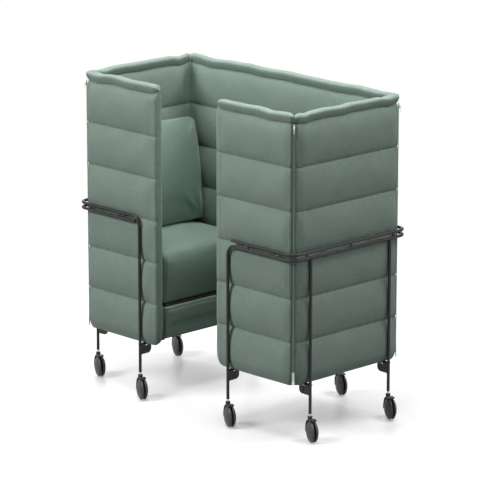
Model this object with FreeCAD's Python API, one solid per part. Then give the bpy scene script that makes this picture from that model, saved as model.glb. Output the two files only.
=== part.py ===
import FreeCAD, Part
import math
import os

from FreeCAD import Vector

os.makedirs("parts", exist_ok=True)

# High-back loveseat: two single seats facing each other inside a shell of five quilted panels, carried at
# mid-height by tube frames on eight castors. Millimetres, +Z up, X along the length, front towards -Y,
# origin on the floor at the middle of the plan. The right end is made first and mirrored to the left, but its
# two bent tubes are turned half round instead: each carries one leg and ends beside the other's leg.

# Shell
LENGTH = 1282.0
DEPTH = 632.0
WING_LENGTH = 459.0
PANEL_BOTTOM = 238.0
CHANNEL_COUNT = 6
CHANNEL_PITCH = 182.0

# Quilted panel: half thickness at the borders, in the seams and over the swell of a channel
BORDER_HALF = 22.0
SEAM_HALF = 18.0
BORDER_SEAM_HALF = 19.5
SWELL_HALF = 28.0
NECK_HALF = 8.0
BORDER_WIDTH = 42.0
SWELL_RUN = 30.0
FREE_EDGE_RUN = 34.0
CORNER_TIP_ROUND = 12.0
FREE_CORNER_RADIUS = 40.0
ZIPPED_CORNER_RADIUS = 12.0
MITRE_GAP = 0.7

# Rolled top edge, which climbs to a small ear at each zipped corner
ROLL_RADIUS = 20.5
ROLL_RISE = 16.0
EAR_RISE = 2.0
EAR_RUN = 95.0

# Board inside each panel
BOARD_THICK = 12.0
BOARD_SLOT = 12.6
BOARD_TOP_INSET = 40.0
BOARD_FREE_INSET = 24.0
BOARD_CORNER_INSET = 56.0

# Tube frame
TUBE_RADIUS = 6.5
TUBE_WALL = 1.5
TUBE_STANDOFF = 13.5
TUBE_SPACING = 23.0
RAIL_HEIGHT = 783.0
RAIL_BEND = 40.0
RAIL_END_INSET = 25.0
LEG_BEND = 40.0
LEG_FOOT = 112.0
FRONT_LEG_INSET = 370.0
SIDE_LEG_INSET = 85.0
WELD_BLOCK = 12.0
WELD_BLOCK_THICK = 5.0
STUD_RADIUS = 4.0
STUD_HOLE = 4.3
PLUG_CAP = 1.5
PLUG_DEPTH = 12.0
PLUG_CLEARANCE = 0.1

# Brackets, underframe and bolts
BRACKET_REACH = 62.0
BRACKET_BOTTOM = 190.0
BRACKET_WEB = 6.0
BRACKET_ROUND = 20.0
FLANGE_LENGTH = 130.0
FLANGE_WIDTH = 24.0
FLANGE_THICK = 4.0
FLANGE_TOP = 236.0
BEAM_WIDTH = 25.0
BEAM_HEIGHT = 26.0
BEAM_WALL = 2.0
BOLT_RADIUS = 3.0
BOLT_HOLE = 3.3
BOLT_HEAD_RADIUS = 5.5
BOLT_HEAD = 4.0
BOLT_DEPTH = 36.0

# Seats
SEAT_SIDE_GAP = 4.0
BASE_TOP = 400.0
BASE_EDGE = 8.0
DECK_THICK = 9.0
DECK_INSET = 14.0
SEAT_TOP = 650.0
SEAT_NOSE = 62.0
SEAT_CROWN = 14.0
SEAT_CORNER = 34.0
BACK_TOP = 1114.0
BACK_FOOT_THICK = 108.0
BACK_HEAD_THICK = 56.0
BACK_HEAD_NARROWING = 8.0
BACK_CORNER = 38.0
BACK_CROWN = 10.0

# Zips at the corners, measured along the diagonal inwards from the sharp corner of the plan
ZIP_COIL_WIDTH = 6.0
ZIP_COIL_THICK = 3.0
ZIP_COIL_FACE = 17.5
ZIP_FOOT = 252.0
ZIP_HEAD = 1328.0
ZIP_STOP = 6.0
SLIDER_WIDTH = 9.0
SLIDER_THICK = 4.0
SLIDER_HEIGHT = 16.0
SLIDER_GAP = 0.3
PULL_WIDTH = 6.5
PULL_THICK = 1.5
PULL_LENGTH = 26.0

# Castors
WHEEL_RADIUS = 45.0
WHEEL_OUTER = 22.0
WHEEL_INNER = 4.0
WHEEL_RIM = 8.0
TRAIL = 30.0
TRAIL_ANGLE = -27.0
AXLE_RADIUS = 3.0
RUNNING_GAP = 0.05
WEB_HALF = 3.0
CANOPY_HALF = 14.0
CANOPY_INNER = 48.0
CANOPY_OUTER = 51.5
CANOPY_FROM = 72.0
CANOPY_TO = 195.0
SOCKET_RADIUS = 10.0
HOOD_TOP = 102.0
STEM_RADIUS = 4.0
STEM_BOTTOM = 87.0
STEM_TOP = 150.0
STEM_CLEARANCE = 0.1

# Worked out from the dimensions above
HALF_LENGTH = LENGTH / 2
HALF_DEPTH = DEPTH / 2
TOP_SEAM = PANEL_BOTTOM + CHANNEL_COUNT * CHANNEL_PITCH
ROLL_HEIGHT = TOP_SEAM + ROLL_RISE
PANEL_INNER = BORDER_HALF + SWELL_HALF
SEAT_FRONT = HALF_LENGTH - WING_LENGTH
SEAT_REAR = HALF_LENGTH - PANEL_INNER - SEAT_SIDE_GAP
SEAT_HALF = HALF_DEPTH - PANEL_INNER - SEAT_SIDE_GAP
BEAM_BOTTOM = FLANGE_TOP
BEAM_TOP = BEAM_BOTTOM + BEAM_HEIGHT
UPPER_TUBE = RAIL_HEIGHT + TUBE_SPACING / 2
LOWER_TUBE = RAIL_HEIGHT - TUBE_SPACING / 2
FRAME_X = HALF_LENGTH + TUBE_STANDOFF
FRAME_Y = HALF_DEPTH + TUBE_STANDOFF
FRONT_LEG_X = HALF_LENGTH - FRONT_LEG_INSET
SIDE_LEG_Y = HALF_DEPTH - SIDE_LEG_INSET


def flat_face(start, *steps):
    """Closed flat face. A step is a point to go straight to, or a pair (through, to) for an arc."""
    edges = []
    here = start
    for step in steps:
        if isinstance(step, tuple):
            through, there = step
            edges.append(Part.Arc(here, through, there).toShape())
        else:
            there = step
            edges.append(Part.LineSegment(here, there).toShape())
        here = there
    edges.append(Part.LineSegment(here, start).toShape())
    return Part.Face(Part.Wire(edges))


def box(x0, x1, y0, y1, z0, z1):
    return Part.makeBox(x1 - x0, y1 - y0, z1 - z0, Vector(x0, y0, z0))


def rod(radius, start, end):
    return Part.makeCylinder(radius, (end - start).Length, start, end - start)


def mirror_left(shape):
    return shape.mirror(Vector(0, 0, 0), Vector(1, 0, 0))


def mirror_back(shape):
    return shape.mirror(Vector(0, 0, 0), Vector(0, 1, 0))


def turn_left(shape):
    turned = shape.copy()
    turned.rotate(Vector(0, 0, 0), Vector(0, 0, 1), 180)
    return turned


def save(name, *solids):
    shape = solids[0] if len(solids) == 1 else Part.makeCompound(list(solids))
    shape.exportStep("parts/" + name + ".step")


def save_both(name, *solids):
    save("right_" + name, *solids)
    save("left_" + name, *[mirror_left(solid) for solid in solids])


def save_turned(name, solid):
    save("right_" + name, solid)
    save("left_" + name, turn_left(solid))


# Quilted panels. In its own frame a panel runs along +X with its outer face towards -Y.

def channel_prism(length):
    """Upright section of a panel, six swelling channels a side between sewn seams, drawn along its length."""

    def point(sign, half, z):
        return Vector(-60, sign * half, z)

    seams = [PANEL_BOTTOM + (channel + 1) * CHANNEL_PITCH for channel in range(CHANNEL_COUNT)]
    halves = [SEAM_HALF] * (CHANNEL_COUNT - 1) + [NECK_HALF]
    foot = (SWELL_HALF - 3, PANEL_BOTTOM + 18)
    hem = (10, PANEL_BOTTOM)
    hem_round = (20.5, PANEL_BOTTOM + 5.5)
    neck_top = ROLL_HEIGHT + 4
    swells = [(SWELL_HALF, seam - CHANNEL_PITCH / 2) for seam in seams]
    joints = [foot] + list(zip(halves, seams))

    up = [(point(-1, *hem_round), point(-1, *foot))]
    for swell, joint in zip(swells, joints[1:]):
        up.append((point(-1, *swell), point(-1, *joint)))
    over = [point(-1, NECK_HALF, neck_top), point(1, NECK_HALF, neck_top), point(1, *joints[-1])]
    down = []
    for swell, joint in zip(reversed(swells), reversed(joints[:-1])):
        down.append((point(1, *swell), point(1, *joint)))
    down.append((point(1, *hem_round), point(1, *hem)))
    return flat_face(point(-1, *hem), *up, *over, *down).extrude(Vector(length + 120, 0, 0))


def border_prism(length, mitred_start):
    """Plan of a panel: the borders along its upright edges, drawn in where they meet the channels."""
    z = PANEL_BOTTOM - 20
    tip = CORNER_TIP_ROUND / math.tan(math.radians(22.5))
    reach = math.hypot(tip, CORNER_TIP_ROUND) - CORNER_TIP_ROUND

    def mitred_end(x, way):
        """From the outer seam beside a mitred end, round its tip, to the inner seam. The end is at x."""
        corner = Vector(x, -BORDER_HALF, z)
        into = Vector(-way * tip, CORNER_TIP_ROUND, 0)
        into.normalize()
        along = Vector(-way, 1, 0)
        along.normalize()
        return [
            Vector(x - way * (BORDER_WIDTH - 6), -BORDER_HALF, z),
            Vector(x - way * tip, -BORDER_HALF, z),
            (corner + into * reach, corner + along * tip),
            Vector(x - way * 2 * BORDER_HALF, BORDER_HALF, z),
            Vector(x - way * (2 * BORDER_HALF + 24), BORDER_HALF, z),
            Vector(x - way * (2 * BORDER_HALF + 30), BORDER_SEAM_HALF, z),
        ]

    def free_end():
        """From the inner seam beside the free edge, round its full oval nose, to the outer border."""

        def nose(degrees, sign):
            turn = math.radians(degrees)
            return Vector(FREE_EDGE_RUN * (1 - math.sin(turn)), sign * BORDER_HALF * math.cos(turn), z)

        return [
            Vector(BORDER_WIDTH - 6, BORDER_HALF, z),
            nose(0, 1),
            (nose(30, 1), nose(60, 1)),
            (nose(90, 1), nose(60, -1)),
            (nose(30, -1), nose(0, -1)),
            Vector(BORDER_WIDTH - 6, -BORDER_HALF, z),
        ]

    def swell(x_seam, sign, way):
        """Arc from a border seam up to the full swell, which lies in direction way along the panel."""
        through = Vector(x_seam + way * SWELL_RUN * 0.35, sign * (SWELL_HALF - 3.6), z)
        return (through, Vector(x_seam + way * SWELL_RUN, sign * SWELL_HALF, z))

    def sink(x_seam, sign, way):
        """Arc from the full swell down to a border seam, with the channel in direction way."""
        through = Vector(x_seam + way * SWELL_RUN * 0.35, sign * (SWELL_HALF - 3.6), z)
        return (through, Vector(x_seam, sign * BORDER_SEAM_HALF, z))

    end = length - MITRE_GAP
    inner_seam = 2 * BORDER_HALF + 30
    start_seam = BORDER_WIDTH
    start_inner_seam = inner_seam if mitred_start else BORDER_WIDTH
    steps = [swell(start_seam, -1, 1), Vector(end - BORDER_WIDTH - SWELL_RUN, -SWELL_HALF, z)]
    steps += [sink(end - BORDER_WIDTH, -1, -1)]
    steps += mitred_end(end, 1)
    steps += [swell(end - inner_seam, 1, -1), Vector(start_inner_seam + SWELL_RUN, SWELL_HALF, z)]
    steps += [sink(start_inner_seam, 1, 1)]
    if mitred_start:
        near = mitred_end(MITRE_GAP, -1)
        back_way = [near[4], near[3], Vector(near[2][1]), (near[2][0], near[1]), near[0]]
        steps += back_way
    else:
        steps += free_end()
    return flat_face(Vector(start_seam, -BORDER_SEAM_HALF, z), *steps).extrude(Vector(0, 0, TOP_SEAM))


def corner_prism(length, mitred_start):
    """Front view of a panel: a rectangle with its two lower corners rounded."""
    bottom = PANEL_BOTTOM - 1
    top = TOP_SEAM + 100
    left = ZIPPED_CORNER_RADIUS if mitred_start else FREE_CORNER_RADIUS
    right = ZIPPED_CORNER_RADIUS
    bevel = 1 - math.sqrt(0.5)
    y = -100
    outline = flat_face(
        Vector(0, y, bottom + left),
        (Vector(left * bevel, y, bottom + left * bevel), Vector(left, y, bottom)),
        Vector(length - right, y, bottom),
        (Vector(length - right * bevel, y, bottom + right * bevel), Vector(length, y, bottom + right)),
        Vector(length, y, top),
        Vector(0, y, top),
    )
    return outline.extrude(Vector(0, 200, 0))


def roll(length, mitred_start):
    """Rolled top edge with an ear at each mitred end and a round cap at a free end."""
    bend = (EAR_RUN ** 2 + EAR_RISE ** 2) / (2 * EAR_RISE)
    sweep = math.degrees(math.asin((EAR_RUN + BORDER_HALF) / bend))
    foot = length - BORDER_HALF - EAR_RUN
    circle = Part.makeCircle(ROLL_RADIUS, Vector(foot, 0, ROLL_HEIGHT), Vector(1, 0, 0))
    section = Part.Face(Part.Wire(circle))
    ear = section.revolve(Vector(foot, 0, ROLL_HEIGHT + bend), Vector(0, -1, 0), sweep)
    middle = Vector(length / 2, 0, 0)
    if mitred_start:
        other = ear.mirror(middle, Vector(1, 0, 0))
        start = length - foot
    else:
        start = ROLL_RADIUS
        other = Part.makeSphere(ROLL_RADIUS, Vector(start, 0, ROLL_HEIGHT))
    run = rod(ROLL_RADIUS, Vector(start, 0, ROLL_HEIGHT), Vector(foot, 0, ROLL_HEIGHT))
    wide = 3 * BORDER_HALF
    z = PANEL_BOTTOM
    end = length - MITRE_GAP
    near = MITRE_GAP if mitred_start else -wide
    slope = 1 if mitred_start else 0
    room = flat_face(
        Vector(near - slope * (wide - BORDER_HALF), -wide, z),
        Vector(end + wide - BORDER_HALF, -wide, z),
        Vector(end - wide - BORDER_HALF, wide, z),
        Vector(near + slope * (wide + BORDER_HALF), wide, z),
    ).extrude(Vector(0, 0, 2 * TOP_SEAM))
    return [piece.common(room) for piece in (run, ear, other)]


def board_box(length, mitred_start, half, spare):
    start = BOARD_CORNER_INSET if mitred_start else BOARD_FREE_INSET
    end = length - BOARD_CORNER_INSET
    top = TOP_SEAM - BOARD_TOP_INSET
    return box(start - spare, end + spare, -half, half, PANEL_BOTTOM - spare, top + spare)


def panel_cover(length, mitred_start, stud_places):
    body = channel_prism(length).common(border_prism(length, mitred_start))
    body = body.common(corner_prism(length, mitred_start))
    body = body.fuse(roll(length, mitred_start))
    body = body.cut(board_box(length, mitred_start, BOARD_SLOT / 2, 0.5))
    for place in stud_places:
        hole_start = Vector(place, -2 * SWELL_HALF, UPPER_TUBE)
        body = body.cut(rod(STUD_HOLE, hole_start, Vector(place, 0, UPPER_TUBE)))
    return body.removeSplitter()


def panel_board(length, mitred_start):
    return board_box(length, mitred_start, BOARD_THICK / 2, 0)


def rail_stud(place):
    """Stud from the face of the upper tube in to the board."""
    tube_y = -BORDER_HALF - TUBE_STANDOFF
    stud = rod(STUD_RADIUS, Vector(place, tube_y, UPPER_TUBE), Vector(place, -BOARD_THICK / 2, UPPER_TUBE))
    across = Vector(40, 0, 0)
    middle = Vector(place, tube_y, UPPER_TUBE)
    return stud.cut(rod(TUBE_RADIUS, middle - across, middle + across))


def to_wing(shape):
    moved = shape.copy()
    moved.translate(Vector(HALF_LENGTH - WING_LENGTH, BORDER_HALF - HALF_DEPTH, 0))
    return moved


def to_end(shape):
    moved = shape.copy()
    moved.rotate(Vector(0, 0, 0), Vector(0, 0, 1), 90)
    moved.translate(Vector(HALF_LENGTH - BORDER_HALF, -HALF_DEPTH, 0))
    return moved


def to_back(shape):
    moved = shape.copy()
    moved.rotate(Vector(0, 0, 0), Vector(0, 0, 1), 180)
    moved.translate(Vector(HALF_LENGTH, HALF_DEPTH - BORDER_HALF, 0))
    return moved


wing_studs = [WING_LENGTH * 0.42, WING_LENGTH * 0.75]
end_studs = [DEPTH * 0.28, DEPTH * 0.72]
back_studs = [LENGTH * 0.13, LENGTH * 0.21, LENGTH * 0.79, LENGTH * 0.87]

save_both("wing_cover", to_wing(panel_cover(WING_LENGTH, False, wing_studs)))
save_both("end_panel_cover", to_end(panel_cover(DEPTH, True, end_studs)))
save("back_panel_cover", to_back(panel_cover(LENGTH, True, back_studs)))

end_stud_solids = [to_wing(rail_stud(place)) for place in wing_studs]
end_stud_solids += [to_end(rail_stud(place)) for place in end_studs]
stud_solids = end_stud_solids + [mirror_left(stud) for stud in end_stud_solids]
stud_solids += [to_back(rail_stud(place)) for place in back_studs]
save("rail_studs", *stud_solids)


# Tube frame of the right end

def tube(points, bends):
    """Round tube along straight runs joined by bends: the route's points, and a radius per inner point."""
    edges = []
    here = points[0]
    for index, bend in enumerate(bends):
        corner = points[index + 1]
        back = points[index] - corner
        onward = points[index + 2] - corner
        back.normalize()
        onward.normalize()
        half = back.getAngle(onward) / 2
        reach = bend / math.tan(half)
        inward = back + onward
        inward.normalize()
        middle = corner + inward * (bend / math.sin(half) - bend)
        edges.append(Part.LineSegment(here, corner + back * reach).toShape())
        here = corner + onward * reach
        edges.append(Part.Arc(corner + back * reach, middle, here).toShape())
    edges.append(Part.LineSegment(here, points[-1]).toShape())
    path = Part.Wire(edges)
    tangent = points[1] - points[0]
    outer = Part.Wire(Part.makeCircle(TUBE_RADIUS, points[0], tangent))
    inner = Part.Wire(Part.makeCircle(TUBE_RADIUS - TUBE_WALL, points[0], tangent))
    skin = path.makePipeShell([outer], True, False)
    bore = path.makePipeShell([inner], True, False)
    return skin.cut(bore)


def weld_block(x, y, along_x):
    """Small block welded between the upper and the lower tube."""
    half_x = (WELD_BLOCK if along_x else WELD_BLOCK_THICK) / 2
    half_y = (WELD_BLOCK_THICK if along_x else WELD_BLOCK) / 2
    return box(x - half_x, x + half_x, y - half_y, y + half_y, LOWER_TUBE, UPPER_TUBE)


def rail_route(z, leg_y):
    """Route of one tube: up the leg at leg_y, then round the end of the booth at height z to a cut end."""
    return [
        Vector(FRONT_LEG_X, leg_y, LEG_FOOT),
        Vector(FRONT_LEG_X, leg_y, z),
        Vector(FRAME_X, leg_y, z),
        Vector(FRAME_X, -leg_y, z),
        Vector(rail_start, -leg_y, z),
    ]


rail_start = FRONT_LEG_X + RAIL_END_INSET
lower_route = rail_route(LOWER_TUBE, -FRAME_Y)
upper_route = rail_route(UPPER_TUBE, FRAME_Y)
lower_tube = tube(lower_route, [LEG_BEND, RAIL_BEND, RAIL_BEND])
upper_tube = tube(upper_route, [LEG_BEND, RAIL_BEND, RAIL_BEND])

side_leg = tube([Vector(FRAME_X, -SIDE_LEG_Y, LEG_FOOT), Vector(FRAME_X, -SIDE_LEG_Y, LOWER_TUBE)], [])
side_leg = side_leg.cut(rod(TUBE_RADIUS, lower_route[2], lower_route[3]))


def straight_runs(radius, z):
    """Rods along the three sides of the frame at one height."""
    runs = [rod(radius, Vector(FRAME_X, -DEPTH, z), Vector(FRAME_X, DEPTH, z))]
    for y in (-FRAME_Y, FRAME_Y):
        runs.append(rod(radius, Vector(0, y, z), Vector(LENGTH, y, z)))
    return runs


weld_places = []
for share in (0.28, 0.82):
    x = rail_start + share * (HALF_LENGTH - rail_start)
    weld_places += [(x, -FRAME_Y, True), (x, FRAME_Y, True)]
for share in (-0.8, 0, 0.8):
    weld_places.append((FRAME_X, share * HALF_DEPTH, False))
weld_blocks = [weld_block(*place) for place in weld_places]
tube_room = straight_runs(TUBE_RADIUS, LOWER_TUBE)
tube_room += straight_runs(TUBE_RADIUS - TUBE_WALL / 2, UPPER_TUBE)
weld_blocks = [block.cut(tube_room) for block in weld_blocks]
upper_tube = upper_tube.fuse(weld_blocks)

save_turned("lower_tube", lower_tube)
save_turned("upper_tube", upper_tube)
save_both("side_legs", side_leg, mirror_back(side_leg))


def end_plug(end, outward):
    """Cap on a cut tube end with a stub inside the tube."""
    cap = rod(TUBE_RADIUS, end, end + outward * PLUG_CAP)
    return cap.fuse(rod(TUBE_RADIUS - TUBE_WALL - PLUG_CLEARANCE, end - outward * PLUG_DEPTH, end))


right_plugs = [end_plug(route[-1], Vector(-1, 0, 0)) for route in (lower_route, upper_route)]
save("tube_end_plugs", *right_plugs, *[turn_left(plug) for plug in right_plugs])


# Brackets, underframe and bolts. A bracket is made with its leg at the origin and reaches along +X.

def bracket():
    y = -BRACKET_WEB / 2
    bevel = BRACKET_ROUND * (1 - math.sqrt(0.5))
    web = flat_face(
        Vector(0, y, BRACKET_BOTTOM),
        Vector(BRACKET_REACH - BRACKET_ROUND, y, BRACKET_BOTTOM),
        (
            Vector(BRACKET_REACH - bevel, y, BRACKET_BOTTOM + bevel),
            Vector(BRACKET_REACH, y, BRACKET_BOTTOM + BRACKET_ROUND),
        ),
        Vector(BRACKET_REACH, y, FLANGE_TOP),
        Vector(0, y, FLANGE_TOP),
    ).extrude(Vector(0, BRACKET_WEB, 0))
    half = FLANGE_WIDTH / 2
    flange = box(0, FLANGE_LENGTH, -half, half, FLANGE_TOP - FLANGE_THICK, FLANGE_TOP)
    shape = web.fuse(flange).cut(rod(TUBE_RADIUS, Vector(0, 0, 0), Vector(0, 0, LOWER_TUBE)))
    for hole in bolt_places():
        shape = shape.cut(rod(BOLT_HOLE, Vector(hole, 0, 0), Vector(hole, 0, LOWER_TUBE)))
        head_room = BOLT_HEAD_RADIUS + 0.5
        under = FLANGE_TOP - FLANGE_THICK
        shape = shape.cut(rod(head_room, Vector(hole, 0, under - 2 * BOLT_HEAD), Vector(hole, 0, under)))
    return shape.removeSplitter()


def bolt_places():
    """Along a bracket from its leg: one bolt up into the panel's board, one into the underframe's beam."""
    return [TUBE_STANDOFF + BORDER_HALF, FLANGE_LENGTH - 18]


def bolt(place):
    under = FLANGE_TOP - FLANGE_THICK
    in_board = place < BRACKET_REACH
    depth = BOLT_DEPTH if in_board else FLANGE_THICK + BEAM_HEIGHT / 2
    shank = rod(BOLT_RADIUS, Vector(place, 0, under), Vector(place, 0, under + depth))
    head = rod(BOLT_HEAD_RADIUS, Vector(place, 0, under - BOLT_HEAD), Vector(place, 0, under))
    return head.fuse(shank)


def to_leg(shape, x, y, turn):
    moved = shape.copy()
    moved.rotate(Vector(0, 0, 0), Vector(0, 0, 1), turn)
    moved.translate(Vector(x, y, 0))
    return moved


right_legs = {
    "front": (FRONT_LEG_X, -FRAME_Y, 90),
    "side_front": (FRAME_X, -SIDE_LEG_Y, 180),
    "side_back": (FRAME_X, SIDE_LEG_Y, 180),
    "back": (FRONT_LEG_X, FRAME_Y, -90),
}
save_both("leg_brackets", *[to_leg(bracket(), *place) for place in right_legs.values()])

right_bolts = []
for place in right_legs.values():
    right_bolts += [to_leg(bolt(hole), *place) for hole in bolt_places()]
all_bolts = right_bolts + [mirror_left(solid) for solid in right_bolts]
save("bracket_bolts", *all_bolts)

save_both("wing_board", to_wing(panel_board(WING_LENGTH, False)).cut(right_bolts))
save_both("end_panel_board", to_end(panel_board(DEPTH, True)).cut(right_bolts))
save("back_panel_board", to_back(panel_board(LENGTH, True)).cut(all_bolts))


def beam(x0, x1, y0, y1, along_x):
    outer = box(x0, x1, y0, y1, BEAM_BOTTOM, BEAM_TOP)
    wall_x = 0 if along_x else BEAM_WALL
    wall_y = BEAM_WALL if along_x else 0
    z0 = BEAM_BOTTOM + BEAM_WALL
    z1 = BEAM_TOP - BEAM_WALL
    hollow = box(x0 + wall_x, x1 - wall_x, y0 + wall_y, y1 - wall_y, z0, z1)
    return outer.cut(hollow).cut(right_bolts)


beam_half = BEAM_WIDTH / 2
front_end = SEAT_HALF - 8
rear_end = SIDE_LEG_Y - beam_half
rear_face = SEAT_REAR - 8
front_beam = beam(FRONT_LEG_X - beam_half, FRONT_LEG_X + beam_half, -front_end, front_end, False)
rear_beam = beam(rear_face - BEAM_WIDTH, rear_face, -rear_end, rear_end, False)
long_beam = beam(FRONT_LEG_X + beam_half, rear_face, -rear_end - BEAM_WIDTH, -rear_end, True)
save_both("underframe", front_beam, rear_beam, long_beam, mirror_back(long_beam))


# Seat of the right end. It faces -X.

def rounded_plan(x0, x1, half, front_radius, rear_radius, z0, z1):
    """Upright prism with rounded corners, front at x0."""
    bevel = 1 - math.sqrt(0.5)
    front = front_radius * bevel
    rear = rear_radius * bevel
    return flat_face(
        Vector(x0, front_radius - half, z0),
        (Vector(x0 + front, front - half, z0), Vector(x0 + front_radius, -half, z0)),
        Vector(x1 - rear_radius, -half, z0),
        (Vector(x1 - rear, rear - half, z0), Vector(x1, rear_radius - half, z0)),
        Vector(x1, half - rear_radius, z0),
        (Vector(x1 - rear, half - rear, z0), Vector(x1 - rear_radius, half, z0)),
        Vector(x0 + front_radius, half, z0),
        (Vector(x0 + front, half - front, z0), Vector(x0, half - front_radius, z0)),
    ).extrude(Vector(0, 0, z1 - z0))


seat_base = rounded_plan(SEAT_FRONT, SEAT_REAR, SEAT_HALF, BASE_EDGE, BASE_EDGE, BEAM_TOP, BASE_TOP)
deck_half = SEAT_HALF - DECK_INSET
deck_rear = SEAT_REAR - DECK_INSET
deck = box(SEAT_FRONT + DECK_INSET, deck_rear, -deck_half, deck_half, BASE_TOP, BASE_TOP + DECK_THICK)
save_both("seat_base", seat_base)
save_both("seat_deck", deck)


def seat_cushion():
    """Thick block with a soft rolled nose, a crowned top and drawn-in lower edges."""
    foot = BASE_TOP + DECK_THICK
    y = -DEPTH
    nose = SEAT_TOP - SEAT_NOSE
    face = SEAT_FRONT + 4
    bevel = SEAT_NOSE * (1 - math.sqrt(0.5))
    bulge = (foot + nose) / 2
    side = flat_face(
        Vector(face + 4, y, foot),
        (Vector(face - 3, y, bulge), Vector(face, y, nose)),
        (Vector(face + bevel, y, SEAT_TOP - bevel), Vector(face + SEAT_NOSE, y, SEAT_TOP)),
        Vector(SEAT_REAR - 12, y, SEAT_TOP),
        (Vector(SEAT_REAR - 3.5, y, SEAT_TOP - 3.5), Vector(SEAT_REAR, y, SEAT_TOP - 12)),
        Vector(SEAT_REAR, y, foot),
    ).extrude(Vector(0, 2 * DEPTH, 0))
    shoulder = SEAT_TOP - SEAT_CROWN - 16
    edge = SEAT_HALF - 4
    x = SEAT_FRONT - 10
    across = flat_face(
        Vector(x, -edge, foot),
        (Vector(x, -SEAT_HALF, (foot + shoulder) / 2), Vector(x, -edge, shoulder)),
        (Vector(x, 8 - edge, SEAT_TOP - SEAT_CROWN - 4), Vector(x, 26 - edge, SEAT_TOP - SEAT_CROWN + 3)),
        (Vector(x, 0, SEAT_TOP), Vector(x, edge - 26, SEAT_TOP - SEAT_CROWN + 3)),
        (Vector(x, edge - 8, SEAT_TOP - SEAT_CROWN - 4), Vector(x, edge, shoulder)),
        (Vector(x, SEAT_HALF, (foot + shoulder) / 2), Vector(x, edge, foot)),
    ).extrude(Vector(LENGTH, 0, 0))
    plan = rounded_plan(SEAT_FRONT, SEAT_REAR, SEAT_HALF, SEAT_CORNER, 10, foot, SEAT_TOP + 10)
    return side.common(across).common(plan)


def back_cushion():
    """Wedge that leans on the end panel: thick at the foot, narrower and round-cornered at the head."""
    foot = SEAT_TOP + 1
    y = -DEPTH
    front_foot = SEAT_REAR - BACK_FOOT_THICK
    front_head = SEAT_REAR - BACK_HEAD_THICK
    head = BACK_TOP - 26
    middle = Vector((front_foot + front_head) / 2 - BACK_CROWN, y, (foot + head) / 2)
    top_middle = SEAT_REAR - BACK_HEAD_THICK / 2
    side = flat_face(
        Vector(front_foot + 14, y, foot),
        (Vector(front_foot + 3, y, foot + 6), Vector(front_foot, y, foot + 22)),
        (middle, Vector(front_head, y, head)),
        (Vector(top_middle - 8, y, BACK_TOP), Vector(SEAT_REAR - 8, y, head + 8)),
        Vector(SEAT_REAR, y, head - 12),
        Vector(SEAT_REAR, y, foot),
    ).extrude(Vector(0, 2 * DEPTH, 0))
    x = front_foot - 40
    half = SEAT_HALF - 2
    narrow = half - BACK_HEAD_NARROWING
    bevel = BACK_CORNER * (1 - math.sqrt(0.5))
    corner = BACK_TOP - BACK_CORNER
    across = flat_face(
        Vector(x, -half + 6, foot),
        (Vector(x, -half + 3, (foot + corner) / 2), Vector(x, -narrow, corner)),
        (Vector(x, bevel - narrow, BACK_TOP - bevel - 5), Vector(x, BACK_CORNER - narrow, BACK_TOP - 4)),
        (Vector(x, 0, BACK_TOP), Vector(x, narrow - BACK_CORNER, BACK_TOP - 4)),
        (Vector(x, narrow - bevel, BACK_TOP - bevel - 5), Vector(x, narrow, corner)),
        (Vector(x, half - 3, (foot + corner) / 2), Vector(x, half - 6, foot)),
    ).extrude(Vector(LENGTH, 0, 0))
    return side.common(across)


save_both("seat_cushion", seat_cushion())
save_both("back_cushion", back_cushion())


# Zips, made at the right front corner with +X pointing inwards along the diagonal, then turned into place

def to_corner(shape, corner_x, corner_y):
    moved = shape.copy()
    turn = math.degrees(math.atan2(-corner_y, -corner_x))
    moved.rotate(Vector(0, 0, 0), Vector(0, 0, 1), turn)
    moved.translate(Vector(corner_x * HALF_LENGTH, corner_y * HALF_DEPTH, 0))
    return moved


coil_half = ZIP_COIL_WIDTH / 2
coil_back = ZIP_COIL_FACE + ZIP_COIL_THICK
coil = box(ZIP_COIL_FACE, coil_back, -coil_half, coil_half, ZIP_FOOT, ZIP_HEAD)
stop_half = coil_half + 1
stop_front = ZIP_COIL_FACE - 1.5
stops = [
    box(stop_front, ZIP_COIL_FACE, -stop_half, stop_half, ZIP_FOOT, ZIP_FOOT + ZIP_STOP),
    box(stop_front, ZIP_COIL_FACE, -stop_half, stop_half, ZIP_HEAD - ZIP_STOP, ZIP_HEAD),
]
slider_face = ZIP_COIL_FACE - SLIDER_GAP
slider_front = slider_face - SLIDER_THICK
slider_top = ZIP_HEAD - ZIP_STOP - 1
slider_half = SLIDER_WIDTH / 2
slider = box(slider_front, slider_face, -slider_half, slider_half, slider_top - SLIDER_HEIGHT, slider_top)
pull_half = PULL_WIDTH / 2
pull_top = slider_top - 5
pull = box(slider_front - PULL_THICK, slider_front, -pull_half, pull_half, pull_top - PULL_LENGTH, pull_top)
corners = {
    "right_front": (1, -1),
    "right_back": (1, 1),
    "left_back": (-1, 1),
    "left_front": (-1, -1),
}
for name, corner in corners.items():
    save(name + "_zip", *[to_corner(solid, *corner) for solid in [coil] + stops])
    save(name + "_zip_slider", to_corner(slider.fuse(pull), *corner))


# Castors, made with the stem on the Z axis and the wheels trailing towards +X, then turned to rest

axle_middle = Vector(TRAIL, 0, WHEEL_RADIUS)


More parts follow.
